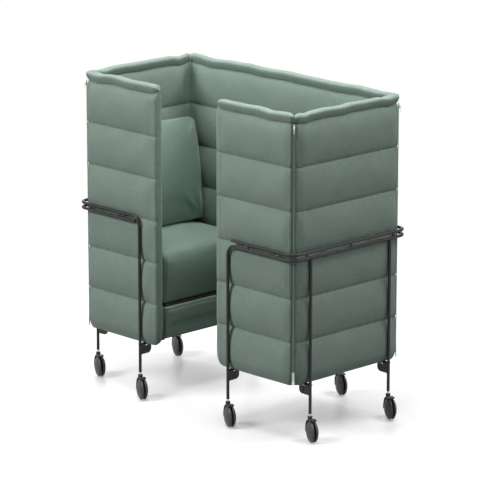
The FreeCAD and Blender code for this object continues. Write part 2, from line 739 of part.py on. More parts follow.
def wheel():
    """Half-lens disc: narrow tread beside the middle, domed outer face."""

    def point(y, radius):
        return axle_middle + Vector(0, y, radius)

    profile = flat_face(
        point(WHEEL_INNER, AXLE_RADIUS),
        point(WHEEL_INNER, WHEEL_RADIUS - 1),
        (point(WHEEL_INNER + 0.6, WHEEL_RADIUS - 0.25), point(WHEEL_INNER + 2, WHEEL_RADIUS)),
        point(WHEEL_RIM, WHEEL_RADIUS),
        (point(WHEEL_OUTER - 4.5, 0.72 * WHEEL_RADIUS), point(WHEEL_OUTER, 0.25 * WHEEL_RADIUS)),
        point(WHEEL_OUTER, AXLE_RADIUS),
    )
    return profile.revolve(axle_middle, Vector(0, 1, 0), 360)


def disc(radius, half):
    return Part.makeCylinder(radius, 2 * half, axle_middle - Vector(0, half, 0), Vector(0, 1, 0))


def hood():
    """Web between the wheels, canopy over their leading side, and a socket for the stem."""
    span = 2 * CANOPY_OUTER

    def ray(degrees):
        angle = math.radians(degrees)
        return axle_middle + Vector(span * math.cos(angle), 0, span * math.sin(angle))

    far_corner = axle_middle + Vector(-span, 0, span)
    sector = flat_face(axle_middle, ray(CANOPY_FROM), far_corner, ray(CANOPY_TO))
    wedge = sector.extrude(Vector(0, 2 * CANOPY_HALF, 0))
    wedge.translate(Vector(0, -CANOPY_HALF, 0))
    canopy = disc(CANOPY_OUTER, CANOPY_HALF).cut(disc(CANOPY_INNER, 2 * CANOPY_HALF)).common(wedge)
    web = disc(CANOPY_INNER + 1, WEB_HALF).common(wedge).fuse(disc(3 * AXLE_RADIUS, WEB_HALF))
    socket = Part.makeCylinder(SOCKET_RADIUS, WHEEL_RADIUS, Vector(0, 0, HOOD_TOP - WHEEL_RADIUS))
    socket = socket.cut(disc(CANOPY_INNER, 2 * CANOPY_HALF))
    shape = canopy.fuse([web, socket]).removeSplitter()
    bore = Part.makeCylinder(STEM_RADIUS + RUNNING_GAP, HOOD_TOP, Vector(0, 0, STEM_BOTTOM - 0.5))
    return shape.cut(bore).cut(disc(AXLE_RADIUS + RUNNING_GAP, 2 * WEB_HALF))


def stem():
    pin = Part.makeCylinder(STEM_RADIUS, LEG_FOOT - STEM_BOTTOM, Vector(0, 0, STEM_BOTTOM))
    plug_radius = TUBE_RADIUS - TUBE_WALL - STEM_CLEARANCE
    plug = Part.makeCylinder(plug_radius, STEM_TOP - LEG_FOOT, Vector(0, 0, LEG_FOOT))
    return pin.fuse(plug)


right_wheel = wheel()
wheel_set = [right_wheel, mirror_back(right_wheel), disc(AXLE_RADIUS, WHEEL_OUTER)]
hood_shape = hood()
stems = []
for end, way in (("right", 1), ("left", -1)):
    for name, (x, y, _) in right_legs.items():
        place = (way * x, y, TRAIL_ANGLE)
        save(end + "_" + name + "_castor_hood", to_leg(hood_shape, *place))
        save(end + "_" + name + "_castor_wheels", *[to_leg(solid, *place) for solid in wheel_set])
        stems.append(to_leg(stem(), *place))
save("castor_stems", *stems)
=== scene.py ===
import math

import bmesh
import bpy
import numpy as np
from mathutils import Matrix, Vector


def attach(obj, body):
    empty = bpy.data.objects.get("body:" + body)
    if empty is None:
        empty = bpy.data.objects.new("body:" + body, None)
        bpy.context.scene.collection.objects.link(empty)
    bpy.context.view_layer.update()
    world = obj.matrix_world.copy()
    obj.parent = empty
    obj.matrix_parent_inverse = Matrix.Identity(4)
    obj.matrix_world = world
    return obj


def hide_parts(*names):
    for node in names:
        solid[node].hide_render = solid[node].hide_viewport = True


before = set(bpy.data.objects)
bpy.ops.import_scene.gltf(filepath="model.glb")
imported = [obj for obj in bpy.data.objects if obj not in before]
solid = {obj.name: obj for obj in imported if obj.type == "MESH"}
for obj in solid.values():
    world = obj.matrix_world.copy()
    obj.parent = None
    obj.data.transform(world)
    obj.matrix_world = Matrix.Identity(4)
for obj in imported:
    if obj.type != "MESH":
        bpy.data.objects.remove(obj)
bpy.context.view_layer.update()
scene = bpy.context.scene
ENDS = (("right", 1), ("left", -1))


# Tube frames
# Each end stands in a frame of 13 mm steel tube. Two tubes, each a leg and a U-shaped rail in one piece,
# run one above the other round it at mid-height, with two more legs under them. They are cold bent,
# welded and powder coated.

def shade(red, green, blue):
    """A colour as a shade card gives it, 0 to 255, in Blender's linear values."""
    return tuple((part / 255) ** 2.2 for part in (red, green, blue)) + (1.0,)


def put(tree, kind, sockets=(), **settings):
    """Adds a node, sets its options, and sets or wires its inputs."""
    made = tree.nodes.new(kind)
    for option, value in settings.items():
        setattr(made, option, value)
    for name, value in dict(sockets).items():
        if isinstance(value, bpy.types.NodeSocket):
            tree.links.new(value, made.inputs[name])
        else:
            made.inputs[name].default_value = value
    return made


def new_finish(name):
    """An empty finish: its tree, its shader and the place on the piece."""
    finish = bpy.data.materials.new(name)
    finish.use_nodes = True
    tree = finish.node_tree
    place = put(tree, "ShaderNodeTexCoord").outputs["Object"]
    return finish, tree, tree.nodes["Principled BSDF"], place


def between(tree, factor, low, high):
    """A number that runs from low to high as factor runs from 0.3 to 0.7, the span that noise fills."""
    sockets = {"Value": factor, "From Min": 0.3, "From Max": 0.7, "To Min": low, "To Max": high}
    return put(tree, "ShaderNodeMapRange", sockets).outputs["Result"]


def blended(tree, factor, low, high):
    """A colour that runs from low to high with factor. Each may be a colour or a socket."""
    mix = put(tree, "ShaderNodeMix", data_type="RGBA")
    for index, value in ((0, factor), (6, low), (7, high)):
        if isinstance(value, bpy.types.NodeSocket):
            tree.links.new(value, mix.inputs[index])
        else:
            mix.inputs[index].default_value = value
    return mix.outputs[2]


def grain(tree, place, scale, detail=2.0):
    sockets = {"Vector": place, "Scale": scale, "Detail": detail}
    return put(tree, "ShaderNodeTexNoise", sockets).outputs["Fac"]


def relief(tree, shader, height, depth):
    """Bump of that depth, in metres, on the shader."""
    sockets = {"Height": height, "Strength": 1.0, "Distance": depth}
    tree.links.new(put(tree, "ShaderNodeBump", sockets).outputs["Normal"], shader.inputs["Normal"])


def powder_coat():
    finish, tree, shader, place = new_finish("satin_black_powder_coat")
    scuffs = grain(tree, place, 46.0, 6.0)
    colour = blended(tree, between(tree, scuffs, 0.0, 1.0), shade(16, 15, 15), shade(27, 26, 26))
    tree.links.new(colour, shader.inputs["Base Color"])
    tree.links.new(between(tree, scuffs, 0.36, 0.5), shader.inputs["Roughness"])
    relief(tree, shader, grain(tree, place, 1500.0), 0.00006)
    shader.inputs["Specular IOR Level"].default_value = 0.35
    return finish


def finish_solid(name, finish):
    solid[name].data.materials.clear()
    solid[name].data.materials.append(finish)


coat = powder_coat()
for end, _ in ENDS:
    for piece in ("upper_tube", "lower_tube", "side_legs", "underframe", "leg_brackets"):
        finish_solid(end + "_" + piece, coat)


# Weld seams
# A ring of small overlapping beads runs round each side leg where it is welded to the tube above it,
# and a short row along both edges of the brackets. They are coated with the frame.

TUBE = 0.0065
FRAME_X = 0.6545
FRAME_Y = 0.3295
LOWER_TUBE = 0.7715
FRONT_LEG_X = 0.271
SIDE_LEG_Y = 0.231
BRACKET_SPAN = (0.190, 0.236)
BRACKET_EDGE = 0.0032
WELD_STEPS = 32
WELD_RING = 1.06 * TUBE
WELD_LOW = 0.0003
WELD_PROUD = 0.0002


def new_tree(name, start, sizes, result):
    """An empty node tree and its inputs: a starting mesh, sizes and a finish."""
    tree = bpy.data.node_groups.new(name, "GeometryNodeTree")
    tree.interface.new_socket(start, in_out="INPUT", socket_type="NodeSocketGeometry")
    for label in sizes:
        tree.interface.new_socket(label, in_out="INPUT", socket_type="NodeSocketFloat")
    tree.interface.new_socket("Finish", in_out="INPUT", socket_type="NodeSocketMaterial")
    tree.interface.new_socket(result, in_out="OUTPUT", socket_type="NodeSocketGeometry")
    return tree, put(tree, "NodeGroupInput").outputs


def even_points(tree, mesh, spacing):
    """Points at an even spacing along the lines of a mesh."""
    line = put(tree, "GeometryNodeMeshToCurve", {"Mesh": mesh}).outputs["Curve"]
    sockets = {"Curve": line, "Length": spacing}
    return put(tree, "GeometryNodeResampleCurve", sockets, mode="LENGTH").outputs["Curve"]


def ellipsoid(tree, rings, x, y, z):
    ball = put(tree, "GeometryNodeMeshUVSphere", {"Segments": 6, "Rings": rings, "Radius": 0.5})
    size = put(tree, "ShaderNodeCombineXYZ", {"X": x, "Y": y, "Z": z}).outputs["Vector"]
    sockets = {"Geometry": ball.outputs["Mesh"], "Scale": size}
    return put(tree, "GeometryNodeTransform", sockets).outputs["Geometry"]


def set_copies(tree, sockets, finish, result, smooth=True):
    """Ends a tree: copies of a shape on points, made real, shaded and given their finish."""
    copies = put(tree, "GeometryNodeInstanceOnPoints", sockets).outputs["Instances"]
    real = put(tree, "GeometryNodeRealizeInstances", {"Geometry": copies}).outputs["Geometry"]
    if smooth:
        real = put(tree, "GeometryNodeSetShadeSmooth", {"Geometry": real}).outputs["Geometry"]
    dressed = put(tree, "GeometryNodeSetMaterial", {"Geometry": real, "Material": finish})
    put(tree, "NodeGroupOutput", {result: dressed.outputs["Geometry"]})
    return tree


def bead_rows():
    """Copies of a small ellipsoid set along rows of points, turned to run with them."""
    tree, given = new_tree("beads_along_rows", "Rows", ("Spacing", "Length", "Thickness"), "Beads")
    even = even_points(tree, given["Rows"], given["Spacing"])
    bead = ellipsoid(tree, 4, given["Thickness"], given["Thickness"], given["Length"])
    tangent = put(tree, "GeometryNodeInputTangent").outputs["Tangent"]
    turn = put(tree, "FunctionNodeAlignRotationToVector", {"Vector": tangent}, axis="Z").outputs["Rotation"]
    sockets = {"Points": even, "Instance": bead, "Rotation": turn}
    return set_copies(tree, sockets, given["Finish"], "Beads")


def new_piece(name, mesh):
    piece = bpy.data.objects.new(name, mesh)
    mesh.name = name
    scene.collection.objects.link(piece)
    return piece


def plain_mesh(piece):
    """The mesh of a piece with its modifiers applied. The piece is removed."""
    graph = bpy.context.evaluated_depsgraph_get()
    mesh = bpy.data.meshes.new_from_object(piece.evaluated_get(graph))
    bpy.data.objects.remove(piece)
    return mesh


def grown(name, tree, start, inputs):
    """The piece that a node tree makes of a starting mesh, as a plain mesh."""
    start_piece = new_piece(name + "_start", start)
    modifier = start_piece.modifiers.new(name, "NODES")
    modifier.node_group = tree
    for item in tree.interface.items_tree:
        if item.in_out == "INPUT" and item.name in inputs:
            modifier[item.identifier] = inputs[item.name]
    return new_piece(name, plain_mesh(start_piece))


def drawn(name, points, edges=(), faces=()):
    mesh = bpy.data.meshes.new(name)
    mesh.from_pydata(points, edges, faces)
    return mesh


def rows_mesh(rows):
    """A mesh of open lines, one for each row of points."""
    points = []
    edges = []
    for row in rows:
        first = len(points)
        points += [tuple(point) for point in row]
        edges += [(index, index + 1) for index in range(first, len(points) - 1)]
    return drawn("rows", points, edges)


bead_tree = bead_rows()
weld_rows = []
for way in (1, -1):
    for y in (-SIDE_LEG_Y, SIDE_LEG_Y):
        ring = []
        for step in range(WELD_STEPS + 1):
            angle = step * math.tau / WELD_STEPS
            under = math.sqrt(max(TUBE ** 2 - (TUBE * math.cos(angle)) ** 2, 0.0))
            x = way * FRAME_X + WELD_RING * math.cos(angle)
            ring.append((x, y + WELD_RING * math.sin(angle), LOWER_TUBE - under - WELD_LOW))
        weld_rows.append(ring)
    for side in (-1, 1):
        for edge in (-BRACKET_EDGE, BRACKET_EDGE):
            inner = side * (FRAME_Y - TUBE + WELD_PROUD)
            weld_rows.append([(way * (FRONT_LEG_X + edge), inner, z) for z in BRACKET_SPAN])
            inner = way * (FRAME_X - TUBE + WELD_PROUD)
            weld_rows.append([(inner, side * SIDE_LEG_Y + edge, z) for z in BRACKET_SPAN])
bead_sizes = {"Spacing": 0.0016, "Length": 0.0028, "Thickness": 0.0024, "Finish": coat}
welds = grown("weld_seams", bead_tree, rows_mesh(weld_rows), bead_sizes)
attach(welds, "booth")


# Tube end plugs
# Black caps that close the four cut ends of the tubes. Each is moulded in one piece from hard plastic with
# a fine matt grain, and pressed into the bore.

def moulded_plastic(name, colour, worn, roughness, pimple):
    finish, tree, shader, place = new_finish(name)
    cloud = grain(tree, place, 120.0, 4.0)
    tree.links.new(blended(tree, between(tree, cloud, 0.0, 1.0), colour, worn), shader.inputs["Base Color"])
    tree.links.new(between(tree, cloud, roughness - 0.06, roughness + 0.08), shader.inputs["Roughness"])
    relief(tree, shader, grain(tree, place, 2600.0), pimple)
    return finish


plug_plastic = moulded_plastic("plug_plastic", shade(26, 26, 27), shade(36, 36, 37), 0.5, 0.00005)
finish_solid("tube_end_plugs", plug_plastic)


# Bracket bolts and rail studs
# Socket-head bolts pass up through the brackets, one into a panel's board and one into a beam. They have a
# plain round head with a six-sided socket. Studs tie the rails to the boards. All are zinc plated steel.

BOLT_HEAD = 0.0055
BOLT_SOCKET = 0.0026
BOLT_REACH = (0.039, 0.112)
HEAD_FOOT = 0.228
HEAD_HEIGHT = 0.004
SOCKET_DEPTH = 0.0026
SOCKET_CLEAR = 0.001


def bright_steel():
    finish, tree, shader, place = new_finish("bright_zinc_steel")
    haze = grain(tree, place, 700.0, 4.0)
    colour = blended(tree, haze, shade(176, 178, 180), shade(206, 207, 206))
    tree.links.new(colour, shader.inputs["Base Color"])
    tree.links.new(between(tree, haze, 0.22, 0.38), shader.inputs["Roughness"])
    shader.inputs["Metallic"].default_value = 1.0
    relief(tree, shader, grain(tree, place, 2400.0), 0.00002)
    return finish


def bolt_heads():
    """Copies of a socket head, axis upwards and socket below, on every point of the start mesh."""
    tree, given = new_tree("bolt_heads", "Places", ("Head", "Socket"), "Bolts")

    def barrel(radius, low, high, sides):
        """A cylinder of one of the named sizes, between two heights."""
        sockets = {"Vertices": sides, "Radius": given[radius], "Depth": high - low}
        shape = put(tree, "GeometryNodeMeshCylinder", sockets).outputs["Mesh"]
        sockets = {"Geometry": shape, "Translation": (0, 0, (low + high) / 2)}
        return put(tree, "GeometryNodeTransform", sockets).outputs["Geometry"]

    cut = put(tree, "GeometryNodeMeshBoolean", operation="DIFFERENCE", solver="EXACT")
    tree.links.new(barrel("Head", 0.0, HEAD_HEIGHT, 20), cut.inputs["Mesh 1"])
    tree.links.new(barrel("Socket", -SOCKET_CLEAR, SOCKET_DEPTH, 6), cut.inputs["Mesh 2"])
    sockets = {"Points": given["Places"], "Instance": cut.outputs["Mesh"]}
    return set_copies(tree, sockets, given["Finish"], "Bolts", smooth=False)


steel = bright_steel()
bolt_places = []
for way in (1, -1):
    for side in (-1, 1):
        for reach in BOLT_REACH:
            bolt_places.append((way * FRONT_LEG_X, side * (FRAME_Y - reach), HEAD_FOOT))
            bolt_places.append((way * (FRAME_X - reach), side * SIDE_LEG_Y, HEAD_FOOT))
bolt_sizes = {"Head": BOLT_HEAD, "Socket": BOLT_SOCKET, "Finish": steel}
bolts = grown("socket_bolts", bolt_heads(), drawn("bolt_places", bolt_places), bolt_sizes)
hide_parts("bracket_bolts")
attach(bolts, "booth")
finish_solid("rail_studs", steel)


# Castors
# Bright steel stems plug into the legs. On each swivels a moulded hood with a pair of domed wheels on
# one axle; the wheels have a grooved tread and a dished hub cap.

WHEEL = 0.045
TRAIL = 0.030
TRAIL_ANGLE = math.radians(-27.0)
WHEEL_SIDES = 48
# section of a wheel from its inner face to the middle of its hub cap: distance along the axle, radius
WHEEL_PROFILE = (
    (0.0040, 0.0031), (0.0040, 0.0425), (0.0046, 0.0442), (0.0060, 0.0450), (0.0074, 0.0450),
    (0.0080, 0.0446), (0.0084, 0.0441), (0.0090, 0.0442), (0.0105, 0.0431), (0.0132, 0.0397),
    (0.0157, 0.0352), (0.0178, 0.0300), (0.0193, 0.0250), (0.0202, 0.0215), (0.0200, 0.0206),
    (0.0191, 0.0202), (0.0188, 0.0195), (0.0197, 0.0184), (0.0208, 0.0165), (0.0216, 0.0130),
    (0.0220, 0.0090), (0.0221, 0.0045), (0.0221, 0.0),
)
CASTORS = {
    "front": (FRONT_LEG_X, -FRAME_Y),
    "side_front": (FRAME_X, -SIDE_LEG_Y),
    "side_back": (FRAME_X, SIDE_LEG_Y),
    "back": (FRONT_LEG_X, FRAME_Y),
}


def turned(profile, count):
    """A closed shape turned about the Y axis from (y, radius) points."""
    mesh = bmesh.new()
    points = [mesh.verts.new((radius, y, 0.0)) for y, radius in profile]
    edges = [mesh.edges.new(pair) for pair in zip(points, points[1:])]
    bmesh.ops.spin(mesh, geom=points + edges, cent=(0, 0, 0), axis=(0, 1, 0), angle=math.tau, steps=count)
    bmesh.ops.remove_doubles(mesh, verts=mesh.verts, dist=0.00002)
    bmesh.ops.recalc_face_normals(mesh, faces=mesh.faces)
    return mesh


def settled(work, name):
    """A plain mesh of what a working mesh holds."""
    mesh = bpy.data.meshes.new(name)
    work.to_mesh(mesh)
    work.free()
    return mesh


def wheel_pair(place):
    """Both wheels of a castor, set on its axle."""
    turn = Matrix.Translation(place) @ Matrix.Rotation(TRAIL_ANGLE, 4, "Z")
    mesh = turned(WHEEL_PROFILE, WHEEL_SIDES)
    other = bmesh.ops.duplicate(mesh, geom=mesh.verts[:] + mesh.edges[:] + mesh.faces[:])["geom"]
    flipped = [item for item in other if isinstance(item, bmesh.types.BMVert)]
    bmesh.ops.scale(mesh, vec=(1, -1, 1), verts=flipped)
    bmesh.ops.recalc_face_normals(mesh, faces=mesh.faces)
    bmesh.ops.transform(mesh, matrix=turn, verts=mesh.verts)
    for face in mesh.faces:
        face.smooth = True
    return settled(mesh, "wheel_pair")


hood_plastic = moulded_plastic("hood_plastic", shade(34, 34, 36), shade(46, 46, 48), 0.5, 0.00006)
wheel_plastic = moulded_plastic("wheel_plastic", shade(44, 44, 46), shade(56, 56, 58), 0.48, 0.00005)
finish_solid("castor_stems", steel)
trail = TRAIL * Vector((math.cos(TRAIL_ANGLE), math.sin(TRAIL_ANGLE), 0.0))
for end, way in ENDS:
    for leg, (x, y) in CASTORS.items():
        name = end + "_" + leg
        axle = Vector((way * x, y, WHEEL)) + trail
        wheels = new_piece(name + "_wheel_pair", wheel_pair(axle))
        wheels.data.materials.append(wheel_plastic)
        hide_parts(name + "_castor_wheels")
        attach(wheels, name + "_wheels")
        finish_solid(name + "_castor_hood", hood_plastic)


# Core boards and seat decks
# A plywood board stiffens each panel inside its cover. The decks under the seat cushions are the same
# board in near black, painted shade that shows as the dark shadow line in the gap above the seat base.

def plywood(name, pale, dark):
    finish, tree, shader, place = new_finish(name)
    stretch = {"Vector": place, "Scale": (6.0, 6.0, 90.0)}
    long_grain = put(tree, "ShaderNodeMapping", stretch).outputs["Vector"]
    streaks = grain(tree, long_grain, 3.0, 6.0)
    tree.links.new(blended(tree, between(tree, streaks, 0.0, 1.0), dark, pale), shader.inputs["Base Color"])
    tree.links.new(between(tree, streaks, 0.55, 0.75), shader.inputs["Roughness"])
    relief(tree, shader, streaks, 0.0003)
    return finish


board_wood = plywood("birch_plywood", shade(186, 160, 118), shade(150, 122, 84))
# painted shade: the decks are coloured near black to stand for the shadow in the gap between seat base and
# cushion
deck_painted_shade = plywood("black_board_painted_gap_shade", shade(26, 28, 27), shade(16, 18, 17))
finish_solid("back_panel_board", board_wood)
for end, _ in ENDS:
    finish_solid(end + "_wing_board", board_wood)
    finish_solid(end + "_end_panel_board", board_wood)
    finish_solid(end + "_seat_deck", deck_painted_shade)


# Quilted panel covers
# Five foam panels, each in a woven wool cover that is sewn across into six channels. A flat-topped rolled
# edge with slack waves in it tops each one. Upright edges are mitred and zipped at the corners, and boxy
# where a wing ends.

SHELL_LENGTH = 1.282
SHELL_DEPTH = 0.632
WING_LENGTH = 0.459
HEM_HEIGHT = 0.238
CHANNELS = 6
CHANNEL_PITCH = 0.182
TOP_SEAM = HEM_HEIGHT + CHANNELS * CHANNEL_PITCH
FLAT_HALF = 0.022
SEAM_HALF = 0.0170
SWELL_HALF = 0.0295
SWELL_POWER = 2.2
SEAM_PINCH = 0.003
PINCH_WIDTH = 0.0048
HEM_TUCK = 0.019
HEM_POWER = 4
HEM_BEND = 0.012
WING_HEM_BEND = 0.040
UNDERSIDE = HEM_HEIGHT - 0.0006
UNDERSIDE_SHARE = 0.6
NECK_HALF = 0.0110
NECK_POWER = 7
EDGE_REACH = 0.165
EDGE_STEPS = 23
EDGE_SPACING = 1.15
STATION_STEP = 0.009
NOSE_RUN = 0.020
NOSE_BOXY = 0.62
NOSE_DEGREES = (83.0, 78.0, 71.0, 63.0, 54.0, 45.0, 36.0, 27.0, 18.0, 9.0, 0.0)
TIP_ROUND = 0.012
TIP_STEPS = 10
SOFT_CORNER = 0.0045
SOFT_RUN = 0.060
MITRE_GAP = 0.0007
BORDER_FLAT = 0.006
BORDER_FADE = 0.070
BORDER_SINK = 0.4
BORDER_TUCK = 0.42
BORDER_CREASE = 0.042
CREASE_DEPTH = 0.0010
CREASE_WIDTH = 0.0035
# unevenness of the cover: how many waves, the shortest and the longest, and the height of each
LUMPS = (7, 0.11, 0.34, 0.00022)
PUCKERS = (6, 0.02, 0.07, 0.00026)
ROLL_RIPPLES = (4, 0.05, 0.16, 0.00012)
PUCKER_FADE = 0.02
ROLL_RADIUS = 0.0207
ROLL_HEIGHT = 1.346
ROLL_NOSE = 0.030
ROLL_TIP = 0.3
ROLL_FOOT = 56.0
ROLL_SHOULDER = 0.45
ROLL_BOXY = 0.8
ROLL_FALL = 0.83
ROLL_NECK_IN = 0.44
ROLL_NECK_POWER = 1.6
ROLL_PROUD = 0.0015
ROLL_LEAST = 0.0005
ROLL_END = 0.0008
WAVE_FADE = 0.08
STEPS = 18
ROLL_STEPS = 28


def ease(value):
    """Rises smoothly from 0 to 1 as value does."""
    value = np.clip(value, 0.0, 1.0)
    return value * value * (3.0 - 2.0 * value)


def end_stations(mitred):
    """Places near one upright edge, from the edge inwards. Columns: offset on the outer and the inner
    face, what a zipped edge takes off the outer face, the thickness that a free edge leaves, and the
    distance to the edge."""
    rows = []
    if mitred:
        # the tip of a 45 degree mitre is rounded through 135 degrees
        tip = TIP_ROUND / math.tan(math.radians(22.5))
        soft = SOFT_CORNER * (1 - tip / SOFT_RUN) ** 2
        for step in range(TIP_STEPS + 1):
            angle = math.radians(135.0 - 135.0 * step / TIP_STEPS)
            left = tip * step / TIP_STEPS
            outer = tip - TIP_ROUND * math.sin(angle) + soft
            taken = TIP_ROUND - TIP_ROUND * math.cos(angle) + soft
            rows.append((outer, 2 * FLAT_HALF + left, taken, 1.0, left))
        start = tip
    else:
        for degrees in NOSE_DEGREES:
            off = NOSE_RUN * (1.0 - math.sin(math.radians(degrees)) ** NOSE_BOXY)
            rows.append((off, off, 0.0, math.cos(math.radians(degrees)) ** NOSE_BOXY, off))
        start = NOSE_RUN
    for step in range(1, EDGE_STEPS + 1):
        off = start + (EDGE_REACH - start) * (step / EDGE_STEPS) ** EDGE_SPACING
        slant = taken = 0.0
        if mitred:
            slant = 2 * FLAT_HALF * (1.0 - float(ease((off - start) / (EDGE_REACH - start))))
            taken = SOFT_CORNER * max(1 - off / SOFT_RUN, 0.0) ** 2
        rows.append((off, off + slant, taken, 1.0, off))
    table = np.array(rows)
    if mitred:
        table[:, :2] += MITRE_GAP
    return table


def panel_stations(length, mitred_start):
    """All places along a panel: x on each face, what is taken off, the thickness left, and the distance
    to both edges."""
    first = end_stations(mitred_start)
    last = end_stations(True)[::-1]
    count = int((length - 2 * EDGE_REACH) / STATION_STEP) + 2
    middle = np.linspace(first[-1, 0], length - last[0, 0], count)[1:-1]
    whole = np.ones_like(middle)
    x_outer = np.concatenate([first[:, 0], middle, length - last[:, 0]])
    x_inner = np.concatenate([first[:, 1], middle, length - last[:, 1]])
    taken = np.concatenate([first[:, 2], 0 * whole, last[:, 2]])
    thick = np.concatenate([first[:, 3], whole, last[:, 3]])
    from_start = np.concatenate([first[:, 4], middle, length - last[:, 4]])
    from_end = np.concatenate([length - first[:, 4], length - middle, last[:, 4]])
    return x_outer, x_inner, taken, thick, from_start, from_end


def quilted_panel(length, mitred_start, seed, waves):
    """Points of a cover, station by station round its section, the length along that section, and each
    station's distance to the nearer upright edge."""
    chance = np.random.default_rng(seed)
    x_outer, x_inner, taken, thick, from_start, from_end = panel_stations(length, mitred_start)
    edge = np.minimum(from_start, from_end)
    full = ease((edge - BORDER_FLAT) / BORDER_FADE)[:, None]
    bare = 1.0 - full

    # one face from the hem up to the roll
    share = 0.5 - 0.5 * np.cos(np.pi * np.arange(STEPS + 1) / STEPS)
    t = np.concatenate([share[:-1]] * (CHANNELS - 1) + [share])
    channel = np.minimum(np.arange(CHANNELS * STEPS + 1) // STEPS, CHANNELS - 1)
    z = HEM_HEIGHT + CHANNEL_PITCH * (channel + t)
    half = SEAM_HALF + (SWELL_HALF - SEAM_HALF) * (1.0 - np.abs(2 * t - 1) ** SWELL_POWER)
    above_hem = (channel == 0) & (t < 0.5)
    half = np.where(above_hem, SWELL_HALF, half)
    tuck = np.where(above_hem, HEM_TUCK * np.clip(1 - 2 * t, 0, 1) ** HEM_POWER, 0.0)
    under_roll = (channel == CHANNELS - 1) & (t > 0.5)
    neck = np.where(under_roll, np.clip(2 * t - 1, 0, 1) ** NECK_POWER, 0.0)
    seam = np.clip(np.rint((z - HEM_HEIGHT) / CHANNEL_PITCH).astype(int), 1, CHANNELS)
    from_seam = np.abs(z - HEM_HEIGHT - seam * CHANNEL_PITCH)
    pinch = SEAM_PINCH * np.exp(-(from_seam / PINCH_WIDTH) ** 2)
    crease = CREASE_DEPTH * np.exp(-((edge - BORDER_CREASE) / CREASE_WIDTH) ** 2)[:, None]

    x_mid = (x_outer + x_inner) / 2
    faces = []
    for sign, off in ((-1, taken), (1, 0 * taken)):
        lumps = np.zeros((len(x_mid), len(z)))
        count, short, long, height = LUMPS
        for _ in range(count):
            wave = chance.uniform(short, long, 2) * chance.choice((-1, 1), 2)
            turn = chance.uniform(0, math.tau)
            lumps += height * np.sin(math.tau * (x_mid[:, None] / wave[0] + z[None, :] / wave[1]) + turn)
        puckers = np.zeros((len(x_mid), CHANNELS + 1))
        count, short, long, height = PUCKERS
        for _ in range(count):
            wave = chance.uniform(short, long, CHANNELS + 1)
            turn = chance.uniform(0, math.tau, CHANNELS + 1)
            puckers += height * np.sin(math.tau * x_mid[:, None] / wave + turn)
        puckers = puckers[:, seam] * np.exp(-from_seam / PUCKER_FADE)
        border = FLAT_HALF - BORDER_SINK * np.maximum(FLAT_HALF - half, 0.0)
        y = half * full + border * bare - pinch * (0.5 + 0.5 * full) - crease
        y = y - tuck * (1.0 - BORDER_TUCK * bare) - neck * (SEAM_HALF - NECK_HALF)
        y = (y + (lumps + puckers) * full) * thick[:, None] - off[:, None]
        faces.append(sign * y)

    # the roll, from the outer crease over the top to the inner one
    angles = np.radians(np.linspace(180.0 + ROLL_FOOT, -ROLL_FOOT, ROLL_STEPS + 1))
    radius = np.full(len(x_mid), ROLL_RADIUS)
    if not mitred_start:
        inside = np.clip(ROLL_RADIUS - from_start, 0.0, ROLL_RADIUS - ROLL_END)
        radius = np.sqrt(ROLL_RADIUS ** 2 - inside ** 2)
    for from_edge in ((from_start, from_end) if mitred_start else (from_end,)):
        nose = np.clip(1.0 - from_edge / ROLL_NOSE, 0.0, 1.0)
        radius = radius * (ROLL_TIP + (1.0 - ROLL_TIP) * np.sqrt(1.0 - nose ** 2))
    count, short, long, height = ROLL_RIPPLES
    for _ in range(count):
        wave = chance.uniform(short, long)
        radius = radius + height * np.sin(math.tau * x_mid / wave + chance.uniform(0, math.tau))
    top = np.clip(np.sin(angles), 0.0, 1.0) ** ROLL_BOXY
    fall = np.clip(-np.sin(angles), 0.0, 1.0) / math.sin(math.radians(ROLL_FOOT))
    waist = 1.0 - ROLL_NECK_IN * fall ** ROLL_NECK_POWER
    side = np.where(fall > 0, waist, np.abs(np.cos(angles)) ** ROLL_BOXY)
    outer = np.clip(FLAT_HALF - taken + ROLL_PROUD, ROLL_LEAST, radius)
    roll_y = np.where(np.cos(angles) < 0, -outer[:, None], radius[:, None]) * side
    rise = ROLL_SHOULDER + (1 - ROLL_SHOULDER) * top - (ROLL_SHOULDER + ROLL_FALL) * fall
    roll_z = ROLL_HEIGHT + radius[:, None] * rise

    # the closed section: outer face up, roll, inner face down, underside
    count = len(x_mid)
    wide = np.ones((count, 1))
    inner_y, outer_y = faces[1][:, 0] * UNDERSIDE_SHARE, faces[0][:, 0] * UNDERSIDE_SHARE
    under_y = np.stack([inner_y, 0 * inner_y, outer_y], axis=1)
    y = np.concatenate([faces[0], roll_y, faces[1][:, ::-1], under_y], axis=1)
    under_z = wide * np.full(3, UNDERSIDE)
    level = np.concatenate([wide * z, roll_z, wide * z[::-1], under_z], axis=1)

    lift = np.zeros(count)
    for spot, rise, spread in waves:
        lift += rise * np.exp(-((from_start - spot) / spread) ** 2)
    level = level + lift[:, None] * ease((level - TOP_SEAM + WAVE_FADE) / WAVE_FADE)
    corner = np.zeros(count)
    start_bend = HEM_BEND if mitred_start else WING_HEM_BEND
    for from_edge, bend in ((from_start, start_bend), (from_end, HEM_BEND)):
        corner += bend - np.sqrt(bend ** 2 - np.clip(bend - from_edge, 0.0, bend) ** 2)
    first_seam = HEM_HEIGHT + CHANNEL_PITCH
    squeeze = np.clip((first_seam - level) / CHANNEL_PITCH, 0.0, 1.0)
    level = level + corner[:, None] * squeeze

    low_y = -FLAT_HALF + taken[:, None]
    across = (y - low_y) / (FLAT_HALF - low_y)
    x = x_outer[:, None] * (1 - across) + x_inner[:, None] * across
    points = np.stack([x, y, level], axis=2)
    middle = points[count // 2]
    along = np.concatenate([[0.0], np.cumsum(np.linalg.norm(np.diff(middle, axis=0), axis=1))])
    return points, along, edge


